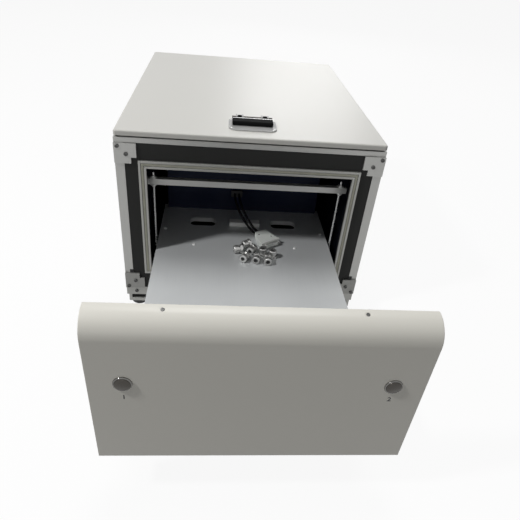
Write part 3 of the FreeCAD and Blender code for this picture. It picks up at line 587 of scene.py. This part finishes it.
def placeCopies(tree, fed, shape):
    # one copy on each vertex: its top looks along the aim attribute, turned by the turn attribute
    spin = addNode(tree, "FunctionNodeAxisAngleToRotation", {"Axis": upward, "Angle": stored(tree, "turn", "FLOAT")})
    look = addNode(tree, "FunctionNodeAlignRotationToVector", {
        "Rotation": spin.outputs[0], "Vector": stored(tree, "aim", "FLOAT_VECTOR")}, axis="Z")
    copies = addNode(tree, "GeometryNodeInstanceOnPoints", {
        "Points": fed["Geometry"], "Instance": shape, "Rotation": look.outputs[0]})
    solid = addNode(tree, "GeometryNodeRealizeInstances", {0: copies.outputs[0]})
    dressed = addNode(tree, "GeometryNodeSetMaterial", {"Geometry": solid.outputs[0], "Material": fed["Material"]})
    addNode(tree, "NodeGroupOutput", {"Geometry": dressed.outputs[0]})
    return tree


def makeTurnedTree(name, profile, cut=None, sides=40, rings=24):
    # profile: share of the length against share of the radius; cut: hex, cross or round, from the top
    tree, fed = startTree(name, [("Radius", 0.005), ("Length", 0.003), ("Cut Width", 0.004),
                                 ("Cut Depth", 0.0018), ("Ripple", 0.0), ("Pitch", 0.001)])
    length, width = fed["Length"], fed["Cut Width"]
    place = addNode(tree, "GeometryNodeInputPosition").outputs[0]
    spot = addNode(tree, "ShaderNodeSeparateXYZ", {0: place}).outputs
    curve = addNode(tree, "ShaderNodeFloatCurve", {"Value": addSum(tree, "DIVIDE", spot["Z"], length)})
    points = curve.mapping.curves[0].points
    while len(points) < len(profile):
        points.new(0.5, 0.5)
    for point, (along, wide) in zip(points, profile):
        point.location = (along, wide)
        point.handle_type = "VECTOR"
    curve.mapping.update()
    turns = addSum(tree, "DIVIDE", addSum(tree, "MULTIPLY", spot["Z"], 2 * math.pi), fed["Pitch"])
    thread = addSum(tree, "MULTIPLY_ADD", addSum(tree, "SINE", turns), fed["Ripple"], 1.0)
    scale = addSum(tree, "MULTIPLY", curve.outputs[0], thread)
    shaped = joinXyz(tree, X=addSum(tree, "MULTIPLY", spot["X"], scale),
                     Y=addSum(tree, "MULTIPLY", spot["Y"], scale), Z=spot["Z"])
    plain = barrel(tree, sides, rings, fed["Radius"], length, 0.0)
    shape = addNode(tree, "GeometryNodeSetPosition", {"Geometry": plain, "Position": shaped}).outputs["Geometry"]
    deep = addSum(tree, "MULTIPLY", fed["Cut Depth"], 2.0)
    foot = addSum(tree, "SUBTRACT", length, fed["Cut Depth"])
    if cut in ("hex", "round"):
        radius = addSum(tree, "MULTIPLY", width, acrossCorners if cut == "hex" else 0.5)
        shape = cutAway(tree, shape, barrel(tree, 6 if cut == "hex" else 32, 1, radius, deep, foot))
    if cut == "cross":
        thin = addSum(tree, "MULTIPLY", width, crossArm)
        for x, y in ((width, thin), (thin, width)):
            slot = addNode(tree, "GeometryNodeMeshCube", {"Size": joinXyz(tree, X=x, Y=y, Z=deep)})
            shape = cutAway(tree, shape, lifted(tree, slot.outputs["Mesh"], length))
    return placeCopies(tree, fed, shape)


def makeNutTree():
    # hexagon with chamfered corners and a round hole
    tree, fed = startTree("hexNut", [("Width", 0.010), ("Height", 0.005), ("Hole", 0.0031)])
    width, height = fed["Width"], fed["Height"]
    hexagon = barrel(tree, 6, 1, addSum(tree, "MULTIPLY", width, acrossCorners), height, 0.0)
    ball = addNode(tree, "GeometryNodeMeshUVSphere", {
        "Segments": 40, "Rings": 24, "Radius": addSum(tree, "MULTIPLY", width, domeWide)})
    flat = addSum(tree, "DIVIDE", height, addSum(tree, "MULTIPLY", width, domeFlat))
    half, below, through = (addSum(tree, "MULTIPLY", height, share) for share in (0.5, -1.0, 3.0))
    dome = lifted(tree, ball.outputs["Mesh"], half, joinXyz(tree, X=1.0, Y=1.0, Z=flat))
    drill = barrel(tree, 28, 1, fed["Hole"], through, below)
    return placeCopies(tree, fed, cutAway(tree, cutAway(tree, hexagon, dome, "INTERSECT"), drill))


trees = {
    "socket": makeTurnedTree("socketScrew", [(0, 1), (0.55, 1), (0.85, 0.95), (1, 0.84)], "hex", rings=12),
    "cross": makeTurnedTree("crossScrew", [(0, 1), (0.3, 1), (0.75, 0.86), (1, 0.62)], "cross", rings=12),
    "flat": makeTurnedTree("flatScrew", [(0, 1), (0.6, 1), (1, 0.9)], "cross", rings=8),
    "bezel": makeTurnedTree("buttonBezel", [(0, 1), (0.45, 1), (0.8, 0.97), (1, 0.92)], "round", sides=72, rings=12),
    "cap": makeTurnedTree("buttonCap", [(0, 1), (0.93, 1), (0.98, 0.985), (1, 0.95)], sides=64, rings=40),
    "foot": makeTurnedTree("rubberFoot", [(0, 0.86), (0.16, 0.97), (0.3, 1), (0.8, 1), (1, 0.93)], sides=48),
    "coupling": makeTurnedTree("hoseCoupling", [
        (0, 0.84), (0.04, 0.92), (0.30, 0.92), (0.33, 0.80), (0.42, 0.80), (0.45, 1.0), (0.93, 1.0), (1, 0.9)],
        "round", rings=64),
    "post": makeTurnedTree("plainPost", [(0, 0.94), (0.006, 1), (0.994, 1), (1, 0.9)], sides=28, rings=170),
    "pin": makeTurnedTree("contactPin", [(0, 1), (0.75, 1), (1, 0.5)], sides=10, rings=4),
    "can": makeTurnedTree("roundCan", [(0, 0.96), (0.05, 1), (0.2, 1), (0.26, 0.95), (0.32, 1), (0.95, 1), (1, 0.93)],
                          sides=32, rings=30),
    "thumb": makeTurnedTree("jackScrew", [(0, 1), (0.35, 1), (0.4, 0.62), (0.94, 0.62), (1, 0.5)], sides=24, rings=40),
    "nut": makeNutTree(),
}
creaseAngle = math.radians(34)
turnStart, turnStep = 0.4, 0.9  # screws aren't all turned alike


def spread(name, tree, spots, sizes, finish, body, *replaced, slot=None):
    # spots: place, aim and turn of each copy; sizes in mm
    mesh = bpy.data.meshes.new(name)
    mesh.from_pydata([s[0] for s in spots], [], [])
    mesh.attributes.new("aim", "FLOAT_VECTOR", "POINT")
    mesh.attributes.new("turn", "FLOAT", "POINT")  # an attribute made earlier is looked up again, by name
    for index, (place, aim, turn) in enumerate(spots):
        mesh.attributes["aim"].data[index].vector = aim
        mesh.attributes["turn"].data[index].value = turn
    piece = linkObject(name, mesh)
    modifier = piece.modifiers.new("copies", "NODES")
    modifier.node_group = trees[tree]
    for item in trees[tree].interface.items_tree:
        if item.in_out == "INPUT" and item.name in sizes:
            modifier[item.identifier] = sizes[item.name] * (1 if item.name == "Ripple" else mm)
        if item.in_out == "INPUT" and item.name == "Material":
            modifier[item.identifier] = finish
    bakeMesh(piece)
    piece.data.materials.pop(index=0)  # left empty by the points
    piece.data.shade_smooth()
    piece.data.set_sharp_from_angle(angle=creaseAngle)
    return settle(piece, body, *replaced, slot=slot)


def onFace(node, side, depth):
    # seats of a node's solids: side is the axis they look along, depth the height of the head
    axis = [i for i in range(3) if side[i]][0]
    seats = []
    for index, (low, high) in enumerate(islandBoxes(node)):
        place = middle((low, high))
        place[axis] = (high if side[axis] > 0 else low)[axis] - side[axis] * depth * mm
        seats.append((place, side, turnStart + turnStep * index))
    return seats


def standIn(tree, node, side, sizes, finish):
    # turned copies in place of a node's solids
    depth = sizes["Height" if tree == "nut" else "Length"]
    return spread(pieceName(node), tree, onFace(node, side, depth), sizes, finish, bodyOf[node], node)


frameScrews = {"Radius": 3.9, "Length": 2.2, "Cut Width": 3.4, "Cut Depth": 1.4}
standIn("socket", "frame_screws", front, frameScrews, boltSteel)

trayScrews = {"Radius": 3.6, "Length": 1.6, "Cut Width": 4.0, "Cut Depth": 0.9}
drawerSeats = onFace("drawer_screws", upward, trayScrews["Length"])
traySeats = [s for s in drawerSeats if s[0].z < trayTop + mm]
spread("trayScrews", "cross", traySeats, trayScrews, highlightWhiteHead, "drawer")

doorScrews = {"Radius": 2.6, "Length": 0.8, "Cut Width": 3.4, "Cut Depth": 0.7,
              "round": 32.0, "tilt": 13.0, "seat": 0.4, "turns": (0.6, 0.5)}


def doorSpots(seats, screw):
    # square to the door's round top edge
    low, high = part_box("door_panel")
    tilt, radius = math.radians(screw["tilt"]), screw["round"] * mm
    aim = Vector((0, -math.sin(tilt), math.cos(tilt)))
    reach = aim * (radius - screw["seat"] * mm)
    first, step = screw["turns"]
    return [(Vector((s[0].x, low.y + radius, high.z - radius)) + reach, aim, first + step * i)
            for i, s in enumerate(seats)]


doorSeats = doorSpots([s for s in drawerSeats if s[0].z > trayTop + mm], doorScrews)
spread("doorScrews", "flat", doorSeats, doorScrews, boltSteel, "drawer", "drawer_screws")

handleScrews = {"Radius": 3.0, "Length": 1.0, "Cut Width": 3.2, "Cut Depth": 0.6}
standIn("cross", "handle_screws", upward, handleScrews, turnedSteel)

crossbarNuts = {"Width": 10.0, "Height": 5.0, "Hole": 3.1}
crossbarWashers = {"Radius": 6.6, "Length": 2.4}
standIn("nut", "crossbar_nuts", upward, crossbarNuts, nickelPlate)


def washerSpots(washer):
    # one above and one below each end of the crossbar, let into its nut
    low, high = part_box("crossbar")
    heights = (low.z - washer["Length"] * mm, high.z)
    posts = [middle(box) for box in islandBoxes("crossbar_posts")]
    return [(Vector((post.x, post.y, z)), upward, 0.0) for post in posts for z in heights]


spread("crossbarWashers", "pin", washerSpots(crossbarWashers), crossbarWashers, highlightWhiteHead, "cabinet", slot="nickel")

buttons = {"bezel": {"Radius": 12.1, "Length": 2.0, "Cut Width": 20.9, "Cut Depth": 2.4},
           "cap": {"Radius": 10.2, "Length": 10.0}}
standIn("bezel", "button_bezels", front, buttons["bezel"], bezelSteel)
for side in ("left", "right"):
    standIn("cap", "button_" + side, front, buttons["cap"], darkSteelAndReflection)

rubberFeet = {"Radius": 18.0, "Length": 12.0}
standIn("foot", "feet", upward, rubberFeet, blackRubber)

crossbarPosts = {"Radius": 3.0, "Length": 199.5, "Ripple": 0.05, "Pitch": 1.75}
standIn("post", "crossbar_posts", upward, crossbarPosts, turnedSteel)

# the same places as the solids: across, back and heading in degrees, or None for one on end
couplings = {"stem": {"Radius": 8.2, "Length": 18.0, "Cut Width": 8.8, "Cut Depth": 12.0},
             "collar": {"Width": 17.0, "Height": 5.0, "Hole": 6.4},
             "washer": {"Radius": 4.45, "Length": 8.0, "up": 8.5},
             "places": [(-15, 0, -80), (2.7, 21, -60), (14, -1, -35), (-2, -29, -30),
                        (22, -32.5, -15), (44.5, -36.6, 0), (36, -7, None), (56, -14, None)],
             "stemTurn": 0.7, "collarTurn": 0.5}


def couplingSpots(kit):
    stems, collars, washers = [], [], []
    for index, (x, y, heading) in enumerate(kit["places"]):
        place, aim = Vector(overTray(x, y)), Vector(upward)
        if heading is not None:
            angle = math.radians(heading)
            aim = Vector((math.sin(angle), -math.cos(angle), 0))
            place += Vector((0, 0, kit["collar"]["Width"] / 2 * mm)) - aim * kit["stem"]["Length"] / 2 * mm
        stems.append((place, aim, kit["stemTurn"] * index))
        collars.append((place, aim, 0.0 if heading is not None else kit["collarTurn"] * index))
        washers.append((place + aim * kit["washer"]["up"] * mm, aim, 0.0))
    return stems, collars, washers


stems, collars, washers = couplingSpots(couplings)
spread("couplingStems", "coupling", stems, couplings["stem"], nickelPlate, "drawer", "loose_couplings")
spread("couplingCollars", "nut", collars, couplings["collar"], nickelPlate, "drawer")
spread("couplingWashers", "pin", washers, couplings["washer"], blackRubber, "drawer")
print("turned and repeated parts made")


# pieces built from blocks: sizes in mm

def addBlock(work, low, high, index=0, place=Matrix()):
    made = bmesh.ops.create_cube(work, size=1.0)["verts"]
    for vert in made:
        spot = [a + (c + 0.5) * (b - a) for a, b, c in zip(low, high, vert.co)]
        vert.co = place @ (Vector(spot) * mm)
    for face in {f for v in made for f in v.link_faces}:
        face.material_index = index


def standBlock(work, spot, size, index, place):
    # centred on spot, with its foot at spot's height
    (x, y, z), (wide, deep, tall) = spot, size
    addBlock(work, (x - wide / 2, y - deep / 2, z), (x + wide / 2, y + deep / 2, z + tall), index, place)


def joinRings(work, rings, closeLast=None):
    # walls between rings of points in order, and a face over the last ring in another finish
    loops = [[work.verts.new(point) for point in ring] for ring in rings]
    for first, second in zip(loops, loops[1:]):
        for i in range(len(first)):
            j = (i + 1) % len(first)
            work.faces.new([first[i], first[j], second[j], second[i]])
    if closeLast is not None:
        work.faces.new(loops[-1]).material_index = closeLast


def fromBlocks(name, work, finishes, ease, body, *replaced, slot=None):
    bmesh.ops.recalc_face_normals(work, faces=work.faces)
    mesh = closeWork(name, work, finishes)
    return settle(easeEdges(linkObject(name, mesh), ease), body, *replaced, slot=slot)


# dark strips that show above the lower brackets, beside the front plate
bracketDarkBands = {"tall": 8.0, "share": 0.4, "proud": 0.5, "ease": 0.15}


def makeBracketDarkBands(pads):
    work = bmesh.new()
    top = min(high.z for low, high in islandBoxes("corner_brackets")) / mm
    for low, high in islandBoxes("front_uprights"):
        side = 1 if middle((low, high)).x > 0 else -1
        inner, wide = (low.x if side > 0 else high.x) / mm, (high.x - low.x) / mm
        ends = sorted((inner, inner + side * pads["share"] * wide))
        face = low.y / mm
        addBlock(work, (ends[0], face - pads["proud"], top), (ends[1], face + pads["proud"], top + pads["tall"]))
    fromBlocks("bracketDarkBands", work, [blackRubber], pads["ease"], "cabinet")


makeBracketDarkBands(bracketDarkBands)

# woven metal strip in the seal rails' groove
sealStrip = {"middle": 7.25, "width": 5.2, "railDepth": 5.0, "grooveDepth": 3.0, "below": 0.5, "ease": 0.8}


def makeSealStrip(strip):
    low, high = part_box("seal_rails_level")
    face = frontY - (strip["railDepth"] - strip["below"]) * mm
    floor = frontY - (strip["railDepth"] - strip["grooveDepth"]) * mm
    outside, inside = strip["middle"] - strip["width"] / 2, strip["middle"] + strip["width"] / 2

    def ring(inset, y):
        x, z0, z1 = high.x - inset * mm, low.z + inset * mm, high.z - inset * mm
        return [(-x, y, z0), (x, y, z0), (x, y, z1), (-x, y, z1)]

    work = bmesh.new()
    joinRings(work, [ring(outside, floor), ring(outside, face), ring(inside, face), ring(inside, floor),
                     ring(outside, floor)])
    bmesh.ops.remove_doubles(work, verts=work.verts, dist=mergeDistance)
    fromBlocks("sealStrip", work, [sealMesh], strip["ease"], "cabinet")


makeSealStrip(sealStrip)

# bright strip along the grip's rear edge: sizes from the grip's own box
gripStrip = {"barDepth": 22.0, "barHeight": 8.0, "deep": 2.0, "sunk": 1.2, "proud": 0.15, "ease": 0.2}


def makeGripStrip(strip):
    low, high = (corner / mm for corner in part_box("handle_grip"))
    rear, top = low.y + strip["barDepth"], low.z + strip["barHeight"]
    work = bmesh.new()
    addBlock(work, (low.x, rear - strip["deep"], top - strip["sunk"]), (high.x, rear, top + strip["proud"]))
    fromBlocks("gripStrip", work, [turnedSteel], strip["ease"], bodyOf["handle_grip"])


makeGripStrip(gripStrip)

# plain numbers under the buttons
legends = {"marks": {"left": "1", "right": "2"}, "size": 11.0, "drop": 25.0, "thick": 0.06, "bold": 0.25}


def makeLegend(side, mark):
    text = bpy.data.curves.new("mark", "FONT")
    text.body = mark
    text.size = legends["size"] * mm
    text.extrude = legends["thick"] * mm
    text.offset = legends["bold"] * mm
    text.align_x, text.align_y = "CENTER", "CENTER"
    maker = linkObject("mark", text)
    mesh = bpy.data.meshes.new_from_object(maker)
    bpy.data.objects.remove(maker)
    button = middle(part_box("button_" + side))
    place = (button.x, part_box("door_panel")[0].y, button.z - legends["drop"] * mm)
    mesh.transform(Matrix.Translation(place) @ Matrix.Rotation(math.pi / 2, 4, "X"))
    mesh.materials.append(printInk)
    settle(linkObject("legend" + side.capitalize(), mesh), "drawer")


for side, mark in legends["marks"].items():
    makeLegend(side, mark)

# plug: metal shell round a dark insert, contacts, jack screws and hood screws
plug = {"across": 53.2, "back": 29.8, "turn": 33.0, "flange": 4.0, "height": 15.5,
        "shell": {"wide": 34.0, "narrow": 31.0, "tall": 8.0, "long": 6.0, "wall": 0.7, "corner": 1.4,
                  "leastCorner": 0.4, "recess": 1.2, "ease": 0.25},
        "contacts": {"Radius": 0.55, "Length": 0.9, "pitch": 2.76, "rows": [(8, 1.4), (7, -1.4)]},
        "jack": {"Radius": 2.3, "Length": 7.5, "Ripple": 0.02, "Pitch": 0.7, "across": 20.2},
        "rim": {"ease": 0.5, "blocks": [
            ((-23.5, -4.15, 14.0), (23.5, -2.2, 15.6)),
            ((22.4, -4.05, 7.0), (23.4, -0.4, 15.5))]},
        "hoodScrews": {"Radius": 2.0, "Length": 0.7, "Cut Width": 2.6, "Cut Depth": 0.5, "up": 13.55,
                       "spots": [(-6.3, 30.4), (13.0, 12.0)]}}
plugFrame = (Matrix.Translation(overTray(plug["across"], plug["back"]))
             @ Matrix.Rotation(math.radians(plug["turn"]), 4, "Z"))


def onPlug(x, y, z):
    return plugFrame @ (Vector((x, y, z)) * mm)


def shellRing(shell, inset, y):
    top, bottom, tall = (shell["wide"] / 2 - inset, shell["narrow"] / 2 - inset, shell["tall"] / 2 - inset)
    cut, centre = max(shell["corner"] - inset, shell["leastCorner"]), plug["height"] / 2
    right = [(bottom - cut, -tall), (bottom, -tall + cut), (top, tall - cut), (top - cut, tall)]
    left = [(-x, z) for x, z in reversed(right)]
    return [onPlug(x, y, centre + z) for x, z in right + left]


def makePlugShell(shell):
    rear, tip, wall = -plug["flange"], -plug["flange"] - shell["long"], shell["wall"]
    work = bmesh.new()
    joinRings(work, [shellRing(shell, 0, rear), shellRing(shell, 0, tip), shellRing(shell, wall, tip),
                     shellRing(shell, wall, tip + shell["recess"])], closeLast=1)
    work.faces.new([work.verts.new(p) for p in shellRing(shell, 0, rear)])
    bmesh.ops.remove_doubles(work, verts=work.verts, dist=mergeDistance)
    return fromBlocks("plugShell", work, [nickelPlate, lightShell], shell["ease"], "drawer", "plug_shell")


def makePlug():
    outwards = plugFrame.to_3x3() @ Vector(front)
    pitch, centre = plug["contacts"]["pitch"], plug["height"] / 2
    insertY = plug["shell"]["recess"] - plug["flange"] - plug["shell"]["long"]
    contacts = [(onPlug((i - (count - 1) / 2) * pitch, insertY, centre + z), outwards, 0.0)
                for count, z in plug["contacts"]["rows"] for i in range(count)]
    jacks = [(onPlug(side * plug["jack"]["across"], -plug["flange"], centre), outwards, 0.3) for side in (-1, 1)]
    screws = plug["hoodScrews"]
    hoodSpots = [(onPlug(x, y, screws["up"]), upward, 0.5 + x) for x, y in screws["spots"]]
    work = bmesh.new()
    # painted highlight: the rim bars take the near-white heads finish for the bright line along the plug's front edge
    for low, high in plug["rim"]["blocks"]:
        addBlock(work, low, high, 0, plugFrame)
    return [
        makePlugShell(plug["shell"]),
        spread("plugContacts", "pin", contacts, plug["contacts"], nickelPlate, "drawer"),
        spread("plugJackScrews", "thumb", jacks, plug["jack"], turnedSteel, "drawer"),
        fromBlocks("plugRim", work, [highlightWhiteHead], plug["rim"]["ease"], "drawer", slot="nickel"),
        spread("plugHoodScrews", "flat", hoodSpots, screws, boltSteel, "drawer")]


plugPieces = [easedPieces["plug_hood"]] + makePlug()


def footFrame(node):
    # at the middle of a node's foot, with the node's width and depth in mm
    low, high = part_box(node)
    foot = middle((low, high))
    foot.z = low.z
    return Matrix.Translation(foot), *((high - low) / mm).xy


# control board under the lid: card, relays, terminal strip, chips and cans
board = {"cardThick": 1.6, "relay": (16.0, 20.0, 15.0), "relayPitch": 24.0, "ease": 0.25,
         "strip": {"size": (70.0, 9.0, 10.0), "poles": 12, "gap": 0.2, "step": 0.55, "upperDeep": 0.62,
                   "upperBack": 0.41, "screwBack": 0.4, "screwSunk": 0.75},
         "chips": [(-46, 22, 20, 8, 3.2), (-46, -8, 12, 12, 2.2), (46, -20, 9, 16, 4.0), (50, 20, 14, 6, 8.0)],
         "chipLift": 0.4, "leg": (0.6, 1.4, 1.2), "legPitch": 2.54, "legFirst": 1.6, "legOut": 0.5,
         "cans": {"Radius": 5.0, "Length": 13.5, "spots": [(-56, -38), (-42, -38), (-28, -42)]},
         "poleScrews": {"Radius": 1.9, "Length": 0.8, "Cut Width": 3.0, "Cut Depth": 0.5}}


def makeBoard(board):
    place, cardWide, cardDeep = footFrame("control_board")
    top, strip, lift = board["cardThick"], board["strip"], board["chipLift"]
    work = bmesh.new()
    standBlock(work, (0, 0, 0), (cardWide, cardDeep, top), 0, place)
    for k in (-1, 0, 1):
        standBlock(work, (k * board["relayPitch"], 0, top), board["relay"], 1, place)
    wide, deep, tall = strip["size"]
    pole, rear, step = wide / strip["poles"], (cardDeep - deep) / 2, tall * strip["step"]
    middles = [(k + 0.5) * pole - wide / 2 for k in range(strip["poles"])]
    for x in middles:
        standBlock(work, (x, rear - deep / 2, top), (pole - strip["gap"], deep, step), 2, place)
        standBlock(work, (x, rear - deep * strip["upperBack"], top + step),
                   (pole - strip["gap"], deep * strip["upperDeep"], tall - step), 2, place)
    for x, y, w, d, h in board["chips"]:
        standBlock(work, (x, y, top + lift), (w, d, h - lift), 3, place)
        for side in (-1, 1):
            for k in range(int(w // board["legPitch"])):
                across = x - w / 2 + board["legFirst"] + k * board["legPitch"]
                standBlock(work, (across, y + side * (d / 2 + board["legOut"]), top), board["leg"], 4, place)
    fromBlocks("controlBoard", work, [boardGreen, relayBlue, terminalGreen, blackPlastic, nickelPlate], board["ease"],
               "cabinet", "control_board")
    y, z = rear - deep * strip["screwBack"], top + tall - strip["screwSunk"]
    poles = [(place @ (Vector((x, y, z)) * mm), upward, 0.4 * k) for k, x in enumerate(middles)]
    spread("boardPoleScrews", "flat", poles, board["poleScrews"], turnedSteel, "cabinet")
    cans = [(place @ (Vector((x, y, top)) * mm), upward, 0.0) for x, y in board["cans"]["spots"]]
    spread("boardCans", "can", cans, board["cans"], blackPlastic, "cabinet")


makeBoard(board)

# air valve: base block, two coils with their caps, side fittings
valve = {"baseTall": 13.0, "fittingRoom": 14.0, "coil": (25.0, 50.0, 19.0), "coilApart": 29.0, "coilFront": 5.0,
         "capInset": (4.0, 12.0), "capTall": 0.4, "ports": (-16, 0, 16), "ease": 0.6,
         "fitting": {"Radius": 5.2, "Length": 14.0, "Cut Width": 6.0, "Cut Depth": 8.0},
         "capScrew": {"Radius": 3.4, "Length": 1.6, "Cut Width": 3.0, "Cut Depth": 1.0}}


def makeValve(valve):
    place, fullWide, fullDeep = footFrame("solenoid_valve")
    base, room, capTall = valve["baseTall"], valve["fittingRoom"], valve["capTall"]
    wide, deep, tall = valve["coil"]
    capWide, capDeep = wide - valve["capInset"][0], deep - valve["capInset"][1]
    coilY, coilTop = valve["coilFront"] + (deep - fullDeep) / 2, base + tall
    work = bmesh.new()
    standBlock(work, (0, -room / 2, 0), (fullWide, fullDeep - room, base), 0, place)
    tops = []
    for x in (-valve["coilApart"] / 2, valve["coilApart"] / 2):
        standBlock(work, (x, coilY, base), valve["coil"], 1, place)
        standBlock(work, (x, coilY, coilTop), (capWide, capDeep, capTall), 2, place)
        tops.append((place @ (Vector((x, coilY, coilTop + capTall)) * mm), upward, 0.4))
    fromBlocks("airValve", work, [satinAlloyY, blackPlastic, zincSteel], valve["ease"], "cabinet", "solenoid_valve",
               slot="black_plastic")
    spread("valveCapScrews", "socket", tops, valve["capScrew"], turnedSteel, "cabinet")
    ports = [(place @ (Vector((x, fullDeep / 2 - room, base / 2)) * mm), back, 0.2) for x in valve["ports"]]
    spread("valveFittings", "coupling", ports, valve["fitting"], nickelPlate, "cabinet")


makeValve(valve)

# screws that hold the outer panels, in rows along the edges
rearScrews = {"Radius": 3.4, "Length": 1.6, "Cut Width": 3.6, "Cut Depth": 0.9,
              "inset": 9.0, "rows": (5, 4), "turn": 0.7}
sideScrews = {"Radius": 3.4, "Length": 0.9, "Cut Width": 3.8, "Cut Depth": 0.6,
              "inset": 9.0, "rows": (4, 3), "turn": 0.6, "proud": 0.05}


def edgeSpots(low, high, axis, screws):
    # spots on a panel's top and bottom rows, then on its two ends
    inset, (level, upright) = screws["inset"] * mm, screws["rows"]
    across, heights = ([low[i] + inset + (high[i] - low[i] - 2 * inset) * k / (count - 1) for k in range(count)]
                       for i, count in ((axis, level), (2, upright)))
    return ([(x, z) for x in across for z in (heights[0], heights[-1])]
            + [(x, z) for z in heights[1:-1] for x in (across[0], across[-1])])


def makePanelScrews():
    low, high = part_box("rear_panel")
    rear = [((x, high.y, z), back, rearScrews["turn"] * i)
            for i, (x, z) in enumerate(edgeSpots(low, high, 0, rearScrews))]
    spread("rearPanelScrews", "cross", rear, rearScrews, turnedSteel, "cabinet")
    low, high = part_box("side_panels")
    sunk = (sideScrews["Length"] - sideScrews["proud"]) * mm
    sides = [((x - side * sunk, y, z), (side, 0, 0), sideScrews["turn"] * i) for x, side in ((low.x, -1), (high.x, 1))
             for i, (y, z) in enumerate(edgeSpots(low, high, 1, sideScrews))]
    spread("sidePanelScrews", "flat", sides, sideScrews, turnedSteel, "cabinet")


makePanelScrews()
print("seal strip, legends, plug, board, valve and panel screws made")


# solids that keep their CAD mesh

keptNodes = {
    "rear_frame": satinAlloyZ, "lid": warmPaint, "lid_gasket": blackRubber, "chamber_plates": blackCoat,
    "chamber_walls": shadedWallBlack, "chamber_rear_wall": chamberBlack, "chamber_bearers": zincSteel,
    "slide_supports": zincSteel, "outer_slides": zincSteel, "middle_slides": zincSteel, "inner_slides": zincSteel,
    "cylinder_tube": satinAlloyY, "cylinder_rod": turnedSteel, "board_standoffs": nickelPlate,
    "hinge_leaves": zincSteel, "lid_leaves": zincSteel, "hinge_pins": turnedSteel, "handle_pin": darkSteelAndReflection,
    "door_seal": blackRubber, "button_nuts": nickelPlate,
}
for node, finish in keptNodes.items():
    cad[node].data.materials.clear()
    cad[node].data.materials.append(finish)
print("CAD finishes set:", len(keptNodes))

for name, piece in leadPieces.items():
    settle(piece, "drawer", "leads")
